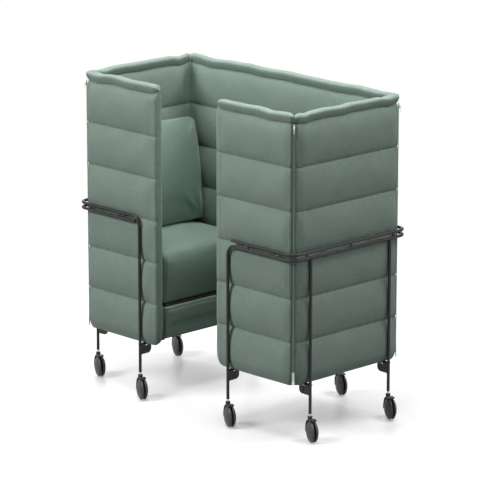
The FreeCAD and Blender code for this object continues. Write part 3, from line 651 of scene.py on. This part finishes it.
def quilt_mesh(points, along):
    """Closed mesh of a cover with the weave's own coordinates, in metres."""
    count, ring, _ = points.shape
    index = np.arange(count * ring).reshape(count, ring)
    around = np.roll(index, -1, axis=1)
    quads = np.stack([index[:-1], index[1:], around[1:], around[:-1]], axis=2).reshape(-1, 4).tolist()
    face = CHANNELS * STEPS + 1
    body = 2 * face + ROLL_STEPS + 1
    for station in (0, count - 1):
        loop = index[station]
        for step in range(body // 2 - 1):
            quads.append([loop[step], loop[step + 1], loop[body - 2 - step], loop[body - 1 - step]])
        quads.append([loop[0], loop[body - 1], loop[body], loop[body + 2]])
        quads.append([loop[body], loop[body + 1], loop[body + 2]])
        middle = body // 2
        if body % 2:
            quads.append([loop[middle - 1], loop[middle], loop[middle + 1]])
    flat = points.reshape(-1, 3)
    mesh = drawn("quilt", flat.tolist(), faces=quads)
    weave = mesh.uv_layers.new(name="weave")
    corner = np.array([loop.vertex_index for loop in mesh.loops])
    v = np.tile(along, count)[corner]
    u = flat[corner, 0]
    weave.data.foreach_set("uv", np.stack([u, v], axis=1).astype(np.float32).ravel())
    return mesh


def set_in_place(mesh, matrix):
    """Moves a mesh to its place, with its faces turned outwards and shaded smooth."""
    work = bmesh.new()
    work.from_mesh(mesh)
    bmesh.ops.transform(work, matrix=matrix, verts=work.verts)
    bmesh.ops.recalc_face_normals(work, faces=work.faces)
    for face in work.faces:
        face.smooth = True
    work.to_mesh(mesh)
    work.free()


def woven_wool(name, pale, deep):
    """Plain weave of melange yarn, with painted shade in the hollows of the weave: the map called weave is
    in metres, warp along v and weft along u.
    """
    finish, tree, shader, place = new_finish(name)
    cloth = put(tree, "ShaderNodeUVMap", uv_map="weave").outputs["UV"]
    yarn = []
    for direction, stretch in (("X", (900.0, 70.0, 1.0)), ("Y", (70.0, 900.0, 1.0))):
        run = put(tree, "ShaderNodeMapping", {"Vector": cloth, "Scale": stretch}).outputs["Vector"]
        band = {"Vector": cloth, "Scale": 185.0, "Distortion": 0.0}
        wave = put(tree, "ShaderNodeTexWave", band, bands_direction=direction).outputs["Fac"]
        yarn.append((grain(tree, run, 1.0, 3.0), wave))
    streaks = put(tree, "ShaderNodeMath", {0: yarn[0][0], 1: yarn[1][0]}, operation="ADD").outputs[0]
    sockets = {0: grain(tree, place, 9.0, 3.0), 1: 0.3, 2: streaks}
    cloud = put(tree, "ShaderNodeMath", sockets, operation="MULTIPLY_ADD").outputs[0]
    spread = put(tree, "ShaderNodeMapRange", {"Value": cloud, "From Min": 0.85, "From Max": 1.45})
    basket = put(tree, "ShaderNodeMath", {0: yarn[0][1], 1: yarn[1][1]}, operation="MULTIPLY").outputs[0]
    melange = blended(tree, spread.outputs["Result"], deep, pale)
    # painted shade: the colour is darkened in the hollows of the weave and lightened where the threads
    # cross
    weave_hollow_shade = put(tree, "ShaderNodeMapRange", {"Value": basket, "To Min": 0.86, "To Max": 1.06})
    sockets = {0: melange, "Scale": weave_hollow_shade.outputs["Result"]}
    tint = put(tree, "ShaderNodeVectorMath", sockets, operation="SCALE").outputs["Vector"]
    tree.links.new(tint, shader.inputs["Base Color"])
    tree.links.new(between(tree, streaks, 0.82, 0.95), shader.inputs["Roughness"])
    nap = put(tree, "ShaderNodeMath", {0: basket, 1: streaks}, operation="ADD").outputs[0]
    relief(tree, shader, nap, 0.00016)
    shader.inputs["Sheen Weight"].default_value = 0.75
    shader.inputs["Sheen Roughness"].default_value = 0.3
    shader.inputs["Sheen Tint"].default_value = shade(226, 233, 229)
    shader.inputs["Specular IOR Level"].default_value = 0.2
    return finish


def panel_place(x, y, degrees):
    return Matrix.Translation((x, y, 0)) @ Matrix.Rotation(math.radians(degrees), 4, "Z")


wing_place = panel_place(SHELL_LENGTH / 2 - WING_LENGTH, FLAT_HALF - SHELL_DEPTH / 2, 0.0)
end_place = panel_place(SHELL_LENGTH / 2 - FLAT_HALF, -SHELL_DEPTH / 2, 90.0)
back_place = panel_place(SHELL_LENGTH / 2, SHELL_DEPTH / 2 - FLAT_HALF, 180.0)
to_left = Matrix.Diagonal((-1, 1, 1, 1))
# each panel's length, whether its start is mitred too, its place and its seed
PANELS = {
    "right_wing": (WING_LENGTH, False, wing_place, 11),
    "left_wing": (WING_LENGTH, False, to_left @ wing_place, 12),
    "right_end_panel": (SHELL_DEPTH, True, end_place, 13),
    "left_end_panel": (SHELL_DEPTH, True, to_left @ end_place, 14),
    "back_panel": (SHELL_LENGTH, True, back_place, 15),
}
# slack waves of each rolled edge: distance along it, rise and half width
WAVES = {
    "right_wing": ((0.229, 0.0024, 0.04), (0.314, -0.0036, 0.035), (0.424, 0.0018, 0.03)),
    "left_wing": ((0.174, -0.0015, 0.03), (0.269, 0.0040, 0.045), (0.379, -0.0050, 0.03)),
    "right_end_panel": ((0.06, -0.005, 0.025), (0.185, 0.002, 0.045), (0.275, -0.0025, 0.03),
                        (0.345, 0.002, 0.035), (0.564, -0.006, 0.03)),
    "left_end_panel": ((0.07, -0.005, 0.03), (0.20, 0.002, 0.05), (0.557, -0.008, 0.045)),
    "back_panel": ((0.10, -0.002, 0.03), (0.23, 0.0035, 0.045), (0.38, -0.0015, 0.06), (0.652, 0.003, 0.06),
                   (0.80, -0.0015, 0.04), (0.892, 0.002, 0.05), (1.112, -0.007, 0.07)),
}
STITCH_INSIDE = 0.006
STITCH_PROUD = 0.0004
STITCH_CLEAR = 8
quilt_wool = woven_wool("sage_quilt_wool", shade(141, 158, 148), shade(113, 130, 121))
stitch_rows = []
for name, (length, mitred_start, place, seed) in PANELS.items():
    points, along, edge = quilted_panel(length, mitred_start, seed, WAVES[name])
    mesh = quilt_mesh(points, along)
    set_in_place(mesh, place)
    quilt = new_piece(name + "_quilt", mesh)
    mesh.materials.append(quilt_wool)
    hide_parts(name + "_cover")
    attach(quilt, "booth")

    # rows of stitches down both borders and along the foot of the roll
    face = CHANNELS * STEPS + 1
    spin = np.array(place)
    off_border = np.abs(edge - BORDER_CREASE + STITCH_INSIDE)
    border = np.argmin(off_border[: len(edge) // 2])
    other = len(edge) - 1 - np.argmin(off_border[::-1][: len(edge) // 2])
    # for each face: its first point, the first stitch above it, the row under the roll and the way out
    for start, low, under_roll, outward in (
        (0, 3, face - 3, -STITCH_PROUD),
        (face + ROLL_STEPS + 1, 2, 2, STITCH_PROUD),
    ):
        height = slice(start + low, start + face - 3)
        top_row = points[STITCH_CLEAR:-STITCH_CLEAR, start + under_roll]
        for line in (points[border, height], points[other, height], top_row):
            line = line + np.array([0.0, outward, 0.0])
            stitch_rows.append((line @ spin[:3, :3].T + spin[:3, 3]).tolist())


# Stitching
# Border seams and the seam under the rolled edge are topstitched in twisted polyester thread, a little
# darker than the wool, in even stitches about 6 mm long.

def sewing_thread():
    finish, tree, shader, place = new_finish("sewing_thread")
    twist = grain(tree, place, 1800.0, 3.0)
    colour = blended(tree, twist, shade(84, 104, 93), shade(112, 132, 121))
    tree.links.new(colour, shader.inputs["Base Color"])
    shader.inputs["Roughness"].default_value = 0.7
    return finish


thread = sewing_thread()
stitch_sizes = {"Spacing": 0.0075, "Length": 0.0056, "Thickness": 0.0011, "Finish": thread}
stitches = grown("panel_stitches", bead_tree, rows_mesh(stitch_rows), stitch_sizes)
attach(stitches, "booth")


# Corner zips
# A coil zip joins each pair of panels at the corner: a nylon coil between two woven tapes that are sewn
# into the covers. At the foot the tapes end in stiffened film and a bright retainer box.

ZIP_CORNERS = {"right_front": (1, -1), "right_back": (1, 1), "left_back": (-1, 1), "left_front": (-1, -1)}
ZIP_FOOT = 0.252
ZIP_HEAD = 1.328
COIL_FRONT = 0.0175
COIL_THICK = 0.0030
COIL_WIDTH = 0.0060
COIL_PITCH = 0.0026
COIL_LEAN = 0.3
TAPE_INNER = (0.0196, 0.0024)
TAPE_OUTER = (0.0178, 0.0090)
TAPE_THICK = 0.0007
FILM_TOP = 0.296
FILM_FOOT = 0.243
FILM_SHARE = 0.8
# front, back, width and rounding of the metal fittings
RETAINER = (0.0158, 0.0205, 0.0096, 0.0012)
RETAINER_HEIGHT = 0.015
PIN = (RETAINER[0] + 0.0008, RETAINER[1], 0.0050, 0.0010)
STOP = (COIL_FRONT - 0.0012, COIL_FRONT + COIL_THICK, 0.0076, 0.001)
STOP_HALF = 0.0016
STOPS_BELOW_HEAD = (0.006, 0.002)


def corner_place(side, front):
    """Frame of a zipped corner: X inwards along the diagonal, Y across the zip, Z up."""
    spot = Matrix.Translation((side * SHELL_LENGTH / 2, front * SHELL_DEPTH / 2, 0))
    return spot @ Matrix.Rotation(math.atan2(-front, -side), 4, "Z")


def coil_turns():
    """Turns of a zip's coil up a line, leaning left and right by turns."""
    sizes = ("Pitch", "Width", "Thickness", "Lean", "Facing")
    tree, given = new_tree("coil_turns", "Line", sizes, "Coil")
    even = even_points(tree, given["Line"], given["Pitch"])
    turn = ellipsoid(tree, 5, given["Thickness"], given["Width"], given["Pitch"])
    index = put(tree, "GeometryNodeInputIndex").outputs["Index"]
    odd = put(tree, "ShaderNodeMath", {0: index, 1: 2.0}, operation="MODULO").outputs[0]
    back = put(tree, "ShaderNodeMath", {0: given["Lean"], 1: -1.0}, operation="MULTIPLY").outputs[0]
    lean = put(tree, "ShaderNodeMapRange", {"Value": odd, "To Min": back, "To Max": given["Lean"]})
    sockets = {"X": lean.outputs["Result"], "Z": given["Facing"]}
    facing = put(tree, "ShaderNodeCombineXYZ", sockets).outputs["Vector"]
    sockets = {"Points": even, "Instance": turn, "Rotation": facing}
    return set_copies(tree, sockets, given["Finish"], "Coil")


def nylon(name, colour, worn):
    finish, tree, shader, place = new_finish(name)
    haze = grain(tree, place, 420.0, 3.0)
    tree.links.new(blended(tree, between(tree, haze, 0.0, 1.0), colour, worn), shader.inputs["Base Color"])
    tree.links.new(between(tree, haze, 0.55, 0.7), shader.inputs["Roughness"])
    relief(tree, shader, grain(tree, place, 3000.0), 0.00003)
    shader.inputs["Specular IOR Level"].default_value = 0.25
    return finish


def join_rings(work, first, second, finish=0):
    """Adds the faces between two rings of points."""
    for step in range(len(first)):
        after = (step + 1) % len(first)
        face = work.faces.new((first[step], first[after], second[after], second[step]))
        face.material_index = finish


def upright_bar(work, section, low, high, finish):
    """Adds an upright bar: its section as (depth, across) points in turn, and its two heights."""
    rings = [[work.verts.new((depth, across, z)) for depth, across in section] for z in (low, high)]
    join_rings(work, *rings, finish)
    for ring in rings:
        work.faces.new(ring).material_index = finish


def rounded_section(front, back, width, round_off):
    """Section of a bar with rounded edges, as (depth, across) points in turn."""
    near, far = front + round_off, back - round_off
    half = width / 2 - round_off
    points = []
    for depth, across, start in ((far, half, 0), (near, half, 90), (near, -half, 180), (far, -half, 270)):
        for step in range(4):
            angle = math.radians(start + 30 * step)
            points.append((depth + round_off * math.cos(angle), across + round_off * math.sin(angle)))
    return points


coil_nylon = nylon("zip_coil_nylon", shade(128, 146, 136), shade(146, 163, 153))
tape_cloth = nylon("zip_tape", shade(84, 104, 93), shade(104, 124, 113))
tape_film = nylon("zip_tape_film", shade(168, 183, 175), shade(188, 200, 193))
coil_tree = coil_turns()
for corner, (side, front) in ZIP_CORNERS.items():
    place = corner_place(side, front)
    middle = COIL_FRONT + COIL_THICK / 2
    line = [place @ Vector((middle, 0, z)) for z in (ZIP_FOOT, ZIP_HEAD)]
    coil_sizes = {"Pitch": COIL_PITCH, "Width": COIL_WIDTH, "Thickness": COIL_THICK, "Lean": COIL_LEAN}
    coil_sizes.update({"Facing": math.atan2(-front, -side), "Finish": coil_nylon})
    coil = grown(corner + "_zip_coil", coil_tree, rows_mesh([line]), coil_sizes)
    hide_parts(corner + "_zip")
    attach(coil, "booth")

    work = bmesh.new()
    for way in (1, -1):
        inner, outer = [(depth, way * across) for depth, across in (TAPE_INNER, TAPE_OUTER)]
        behind = [(depth + TAPE_THICK, across) for depth, across in (outer, inner)]
        upright_bar(work, [inner, outer] + behind, ZIP_FOOT, ZIP_HEAD, 0)
        proud = [(depth - TAPE_THICK, across * FILM_SHARE) for depth, across in (inner, outer, *behind)]
        upright_bar(work, proud, FILM_FOOT, FILM_TOP, 1)
    upright_bar(work, rounded_section(*RETAINER), FILM_FOOT, FILM_FOOT + RETAINER_HEIGHT, 2)
    upright_bar(work, rounded_section(*PIN), FILM_FOOT, FILM_TOP, 2)
    for below in STOPS_BELOW_HEAD:
        z = ZIP_HEAD - below
        upright_bar(work, rounded_section(*STOP), z - STOP_HALF, z + STOP_HALF, 2)
    bmesh.ops.recalc_face_normals(work, faces=work.faces)
    bmesh.ops.transform(work, matrix=place, verts=work.verts)
    tape_mesh = settled(work, "zip_tapes")
    tapes = new_piece(corner + "_zip_tapes", tape_mesh)
    for finish in (tape_cloth, tape_film, steel):
        tape_mesh.materials.append(finish)
    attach(tapes, "booth")


# Zip sliders
# A die-cast slider, plated bright, closes each zip. It is shield-shaped, with a bridge that carries a flat
# pull tab, and it parks at the top of the zip.

SLIDER_TOP = 1.321
SLIDER_HEIGHT = 0.016
SLIDER_SPAN = (0.0132, 0.0172)
SLIDER_WIDE = 0.0090
SLIDER_NARROW = 0.0066
SLIDER_BEVEL = 0.0007
SLIDER_RIM = 0.84
BRIDGE_RISE = 0.0024
BRIDGE_HALF = 0.0042
BRIDGE_ROD = 0.0010
PULL_TOP = 1.316
PULL_LENGTH = 0.026
PULL_WIDTH = 0.0065
PULL_THICK = 0.0013
PULL_GAP = 0.0004
OUTLINE_STEPS = 28


def oblong(middle, height, width_low, width_high, power):
    """Outline of a rounded plate that widens upwards, as (across, height) points."""
    points = []
    for step in range(OUTLINE_STEPS):
        angle = math.tau * step / OUTLINE_STEPS
        up = math.copysign(abs(math.sin(angle)) ** power, math.sin(angle))
        width = width_low + (width_high - width_low) * (up + 1) / 2
        across = math.copysign(abs(math.cos(angle)) ** power, math.cos(angle)) * width / 2
        points.append((across, middle + up * height / 2))
    return points


def slider_mesh(place):
    """A slider's plate, bridge and pull tab, set in its corner."""
    work = bmesh.new()
    middle = SLIDER_TOP - SLIDER_HEIGHT / 2
    front, back = SLIDER_SPAN
    rings = []
    bevels = ((front, SLIDER_RIM), (front + SLIDER_BEVEL, 1), (back - SLIDER_BEVEL, 1), (back, SLIDER_RIM))
    for depth, share in bevels:
        outline = oblong(middle, SLIDER_HEIGHT * share, SLIDER_NARROW * share, SLIDER_WIDE * share, 0.6)
        rings.append([work.verts.new((depth, across, z)) for across, z in outline])
    for first, second in zip(rings, rings[1:]):
        join_rings(work, first, second)
    work.faces.new(rings[0])
    work.faces.new(rings[-1])

    # bridge over the front plate
    arch = []
    for step in range(11):
        angle = math.pi * step / 10
        spot = Vector((front - BRIDGE_RISE * math.sin(angle), 0, middle + BRIDGE_HALF * math.cos(angle)))
        out = Vector((-math.sin(angle), 0, math.cos(angle)))
        flat = Vector((0, 1.6, 0))
        ring = []
        for side in range(8):
            turn = math.tau * side / 8
            ring.append(work.verts.new(spot + BRIDGE_ROD * (out * math.cos(turn) + flat * math.sin(turn))))
        arch.append(ring)
    for first, second in zip(arch, arch[1:]):
        join_rings(work, first, second)
    work.faces.new(arch[0])
    work.faces.new(arch[-1])

    # pull tab with its eye
    tab_middle = PULL_TOP - PULL_LENGTH / 2
    outline = oblong(tab_middle, PULL_LENGTH, PULL_WIDTH, PULL_WIDTH * 0.72, 0.55)
    eye_width = PULL_WIDTH * 0.46
    eye = oblong(tab_middle - PULL_LENGTH * 0.18, PULL_LENGTH * 0.36, eye_width, eye_width, 0.7)
    tab_front = front - PULL_GAP - PULL_THICK
    plate = []
    for depth in (tab_front, tab_front + PULL_THICK):
        layer = [[work.verts.new((depth, across, z)) for across, z in ring] for ring in (outline, eye)]
        plate.append(layer)
    for layer in plate:
        join_rings(work, *layer)
    join_rings(work, plate[0][0], plate[1][0])
    join_rings(work, plate[0][1], plate[1][1])
    bmesh.ops.recalc_face_normals(work, faces=work.faces)
    bmesh.ops.transform(work, matrix=place, verts=work.verts)
    return settled(work, "zip_slider")


for corner, (side, front) in ZIP_CORNERS.items():
    slider = new_piece(corner + "_slider_casting", slider_mesh(corner_place(side, front)))
    slider.data.materials.append(steel)
    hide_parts(corner + "_zip_slider")
    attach(slider, corner + "_slider")


# Seats
# An upholstered box stands on the underframe. On its deck lies a thick foam cushion with a soft nose, and a
# wedge-shaped back cushion leans on the end panel. All wear the same wool, topstitched beside their seams.

SKIN_STEP = 0.007
SKIN_SLACK = 0.004
SKIN_SMOOTH = 8
HELD_BAND = 0.6 * SKIN_STEP
FOAM_PRESSURE = 4.0
FOAM_FRAMES = 20
COVER_SMOOTH = 5
SEAT_HALF = 0.2624
SEAT_REAR = 0.5880
SEAT_TOP = 0.650
UNDER_BACK = (0.424, 0.474)
UNDER_BACK_GAP = 0.0004
NOSE_BACK = (0.20, 0.26)
NOSE_HEIGHT = (0.41, 0.60)
BACK_LEAN = Vector((1.0, 0.0, -0.119)).normalized()
# how far each may swell, its lowest and highest point, and the planes of its seams
SEATS = {
    "seat_base": (0.003, (0.262, 0.4004), [((0, 0, 0.386), (0, 0, 1))]),
    "seat_cushion": (0.011, (0.4092, 0.662), [((0, 0.246, 0), (0, 1, 0)), ((0, -0.246, 0), (0, -1, 0))]),
    "back_cushion": (0.012, (0.6508, 1.122), [((0.500, 0, 0.651), tuple(BACK_LEAN))]),
}
SEAM_DEPTH = 0.0022
SEAM_WIDTH = 0.0042
NOSE_OVERHANG = 0.010
SNUG_EDGE = 0.024
FOOT_TIGHT = 1.7
RIM_TIGHT = 1.5
STITCH_BESIDE = 0.0065


def places(mesh):
    spots = np.empty(3 * len(mesh.vertices))
    mesh.vertices.foreach_get("co", spots)
    return spots.reshape(-1, 3)


def directions(mesh):
    mesh.update()
    normals = np.empty(3 * len(mesh.vertices))
    mesh.vertex_normals.foreach_get("vector", normals)
    return normals.reshape(-1, 3)


def move_to(mesh, spots):
    mesh.vertices.foreach_set("co", spots.astype(np.float32).ravel())
    mesh.update()


def even_skin(node):
    """The solid's form as a skin of small even faces, rounded at its edges and drawn in a little."""
    work = bmesh.new()
    work.from_mesh(solid[node].data)
    bmesh.ops.remove_doubles(work, verts=work.verts, dist=0.00005)
    form = new_piece(node + "_form", settled(work, node + "_form"))
    remesh = form.modifiers.new("even_skin", "REMESH")
    remesh.mode = "VOXEL"
    remesh.voxel_size = SKIN_STEP
    smooth = form.modifiers.new("soft_edges", "SMOOTH")
    smooth.iterations = SKIN_SMOOTH
    skin = plain_mesh(form)
    move_to(skin, places(skin) - SKIN_SLACK * directions(skin))
    return skin


def swollen(skin, held, cap):
    """Where foam pushes the cover while its seams hold it: a short run of cloth under pressure."""
    rest = places(skin)
    pillow = new_piece("pillow", skin)
    grip = pillow.vertex_groups.new(name="seams")
    grip.add(np.flatnonzero(held).tolist(), 1.0, "REPLACE")
    cloth = pillow.modifiers.new("foam", "CLOTH")
    cloth.settings.vertex_group_mass = "seams"
    cloth.settings.use_pressure = True
    cloth.settings.uniform_pressure_force = FOAM_PRESSURE
    cloth.settings.effector_weights.gravity = 0.0
    cloth.point_cache.frame_end = FOAM_FRAMES
    for step in range(1, FOAM_FRAMES + 1):
        scene.frame_set(step)
    moved = places(plain_mesh(pillow)) - rest
    scene.frame_set(1)
    reach = np.maximum(np.linalg.norm(moved, axis=1), 1e-9)
    return rest + moved * (cap * np.tanh(reach / cap) / reach)[:, None]


def off_plane(spots, plane):
    point, normal = plane
    return (spots - np.array(point)) @ np.array(normal)


def share_of(limits, values):
    """1 at the first limit, falling to 0 at the second."""
    return (limits[1] - values) / (limits[1] - limits[0])


def cushion_mesh(node, cap, span, seams):
    """One padded piece of the right seat: swollen, kept in its space, sewn and finely divided."""
    skin = even_skin(node)
    spots = places(skin)
    held = np.zeros(len(spots), bool)
    for plane in seams:
        held |= np.abs(off_plane(spots, plane)) < HELD_BAND
    spots = swollen(skin, held, cap)
    spots[:, 0] = np.minimum(spots[:, 0], SEAT_REAR)
    spots[:, 1] = np.clip(spots[:, 1], -SEAT_HALF, SEAT_HALF)
    head = np.full(len(spots), span[1])
    if node.endswith("seat_cushion"):
        free = ease(share_of(UNDER_BACK, spots[:, 0]))
        head = SEAT_TOP + UNDER_BACK_GAP + (span[1] - SEAT_TOP) * free
        front = ease(share_of(NOSE_BACK, spots[:, 0]))
        spots[:, 0] += NOSE_OVERHANG * front * np.clip(share_of(NOSE_HEIGHT, spots[:, 2]), 0.0, 1.0)
    spots[:, 2] = np.clip(spots[:, 2], span[0], head)
    move_to(skin, spots)
    cushion = new_piece("cushion", skin)
    cushion.modifiers.new("smooth", "SMOOTH").iterations = COVER_SMOOTH
    finer = cushion.modifiers.new("finer", "SUBSURF")
    finer.levels = finer.render_levels = 1
    mesh = plain_mesh(cushion)
    spots = places(mesh)
    foot = np.clip((spots[:, 2] - span[0]) / SNUG_EDGE, 0.0, 1.0)
    spots[:, 2] += SNUG_EDGE * (foot ** FOOT_TIGHT - foot)
    if node.endswith("seat_base"):
        rim = np.clip((span[1] - spots[:, 2]) / SNUG_EDGE, 0.0, 1.0)
        spots[:, 2] -= SNUG_EDGE * (rim ** RIM_TIGHT - rim)
    move_to(mesh, spots)
    outward = directions(mesh)
    groove = np.zeros(len(spots))
    for plane in seams:
        groove += SEAM_DEPTH * np.exp(-(off_plane(spots, plane) / SEAM_WIDTH) ** 2)
    move_to(mesh, spots - groove[:, None] * outward)
    return mesh


def weave_map(mesh):
    """Weave coordinates in metres: across the seat, and along the way the cover runs over its edge."""
    corners = np.empty(len(mesh.loops), np.int64)
    mesh.loops.foreach_get("vertex_index", corners)
    x, y, z = places(mesh)[corners].T
    sideways = np.abs(directions(mesh)[corners, 1]) > 0.75
    u = np.where(sideways, x, y)
    v = np.where(sideways, z, x + z)
    layer = mesh.uv_layers.new(name="weave")
    layer.data.foreach_set("uv", np.stack([u, v], axis=1).astype(np.float32).ravel())


def seam_lines(mesh, plane):
    """Points and edges of the line along which a plane cuts a mesh."""
    work = bmesh.new()
    work.from_mesh(mesh)
    every = work.verts[:] + work.edges[:] + work.faces[:]
    cut = bmesh.ops.bisect_plane(work, geom=every, plane_co=plane[0], plane_no=plane[1])["geom_cut"]
    verts = [item for item in cut if isinstance(item, bmesh.types.BMVert)]
    lines = [item for item in cut if isinstance(item, bmesh.types.BMEdge)]
    number = {vert: index for index, vert in enumerate(verts)}
    edges = [tuple(number[vert] for vert in line.verts) for line in lines]
    points = [tuple(vert.co) for vert in verts]
    work.free()
    return points, edges


seat_wool = woven_wool("sage_seat_wool", shade(138, 159, 147), shade(110, 131, 119))
stitch_points = []
stitch_edges = []
for node, (cap, span, seams) in SEATS.items():
    right_mesh = cushion_mesh("right_" + node, cap, span, seams)
    for plane in seams:
        beside = Vector(plane[0]) - STITCH_BESIDE * Vector(plane[1])
        points, edges = seam_lines(right_mesh, (beside, Vector(plane[1])))
        for way in (1, -1):
            first = len(stitch_points)
            stitch_points += [(way * x, y, z) for x, y, z in points]
            stitch_edges += [(first + a, first + b) for a, b in edges]
    left_mesh = right_mesh.copy()
    for end, mesh, turn in (("right", right_mesh, Matrix.Identity(4)), ("left", left_mesh, to_left)):
        set_in_place(mesh, turn)
        weave_map(mesh)
        mesh.materials.clear()
        mesh.materials.append(seat_wool)
        padded = new_piece(end + "_" + node + "_wool", mesh)
        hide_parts(end + "_" + node)
        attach(padded, "booth")

seat_rows = drawn("seat_rows", stitch_points, stitch_edges)
seat_stitches = grown("seat_stitches", bead_tree, seat_rows, stitch_sizes)
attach(seat_stitches, "booth")


# Floor, light and camera
# A plain pale studio floor under soft lamps: one overhead, one at the front left, a weaker one at the right
# and one behind each end, with a faint even sky. The camera stands where the photograph's did and looks at
# the middle of the booth.

def looked_at(tree):
    """1 for what the camera or a reflection sees, 0 for the light that it sheds."""
    rays = put(tree, "ShaderNodeLightPath").outputs
    sockets = {0: rays["Is Camera Ray"], 1: rays["Is Glossy Ray"]}
    return put(tree, "ShaderNodeMath", sockets, operation="MAXIMUM").outputs[0]


def studio_floor():
    """Pale sealed floor. The camera sees it close to white, and it keeps shadows and soft reflections."""
    finish, tree, shader, place = new_finish("pale_floor")
    cloud = grain(tree, place, 0.6, 2.0)
    seen = looked_at(tree)
    pale = blended(tree, cloud, shade(240, 240, 241), shade(246, 246, 246))
    tree.links.new(blended(tree, seen, shade(95, 95, 95), pale), shader.inputs["Base Color"])
    shader.inputs["Roughness"].default_value = 0.28
    shader.inputs["Specular IOR Level"].default_value = 0.5
    away = put(tree, "ShaderNodeVectorMath", {0: place}, operation="LENGTH").outputs["Value"]
    sockets = {"Value": away, "From Min": 0.8, "From Max": 4.0, "To Min": 0.3, "To Max": 1.0}
    fade = put(tree, "ShaderNodeMapRange", sockets).outputs["Result"]
    glow = put(tree, "ShaderNodeEmission", {"Color": (1, 1, 1, 1), "Strength": 1.0}).outputs["Emission"]
    share = put(tree, "ShaderNodeMath", {0: seen, 1: fade}, operation="MULTIPLY").outputs[0]
    mix = put(tree, "ShaderNodeMixShader", {0: share, 1: shader.outputs["BSDF"], 2: glow}).outputs["Shader"]
    tree.links.new(mix, tree.nodes["Material Output"].inputs["Surface"])
    return finish


floor_corners = [(-40, -40, 0), (40, -40, 0), (40, 40, 0), (-40, 40, 0)]
floor_mesh = drawn("floor", floor_corners, faces=[(0, 1, 2, 3)])
floor_mesh.materials.append(studio_floor())
floor = new_piece("floor", floor_mesh)


def soft_lamp(name, place, target, size, power):
    lamp = bpy.data.lights.new(name, "AREA")
    lamp.size = size
    lamp.energy = power
    holder = bpy.data.objects.new(name, lamp)
    holder.location = place
    holder.rotation_euler = (Vector(target) - Vector(place)).to_track_quat("-Z", "Y").to_euler()
    scene.collection.objects.link(holder)


soft_lamp("top_lamp", (0.2, -0.6, 6.0), (0, 0, 0.7), 2.4, 265)
soft_lamp("key_lamp", (-2.6, -5.5, 5.2), (0, 0, 0.7), 2.6, 440)
soft_lamp("fill_lamp", (5.8, 0.6, 4.6), (0, 0, 0.7), 2.4, 100)
soft_lamp("end_lamp", (2.3, 2.5, 5.3), (0.4, 0, 0.7), 1.8, 170)
soft_lamp("rim_lamp", (-5.6, 3.2, 4.2), (0, 0, 0.9), 2.4, 160)

world = bpy.data.worlds.new("studio")
world.use_nodes = True
scene.world = world
sky = world.node_tree
sky_levels = {"Value": looked_at(sky), "To Min": 0.06, "To Max": 1.0}
strength = put(sky, "ShaderNodeMapRange", sky_levels).outputs["Result"]
sky.nodes["Background"].inputs["Color"].default_value = (1, 1, 1, 1)
sky.links.new(strength, sky.nodes["Background"].inputs["Strength"])

scene.view_settings.view_transform = "Standard"
camera = bpy.data.cameras.new("camera")
camera.lens = 244.0
camera.clip_end = 200.0
eye = bpy.data.objects.new("camera", camera)
eye.location = (9.636, -9.245, 4.07)
aim = Vector((0.0, 0.0, 0.685))
eye.rotation_euler = (aim - eye.location).to_track_quat("-Z", "Y").to_euler()
scene.collection.objects.link(eye)
scene.camera = eye
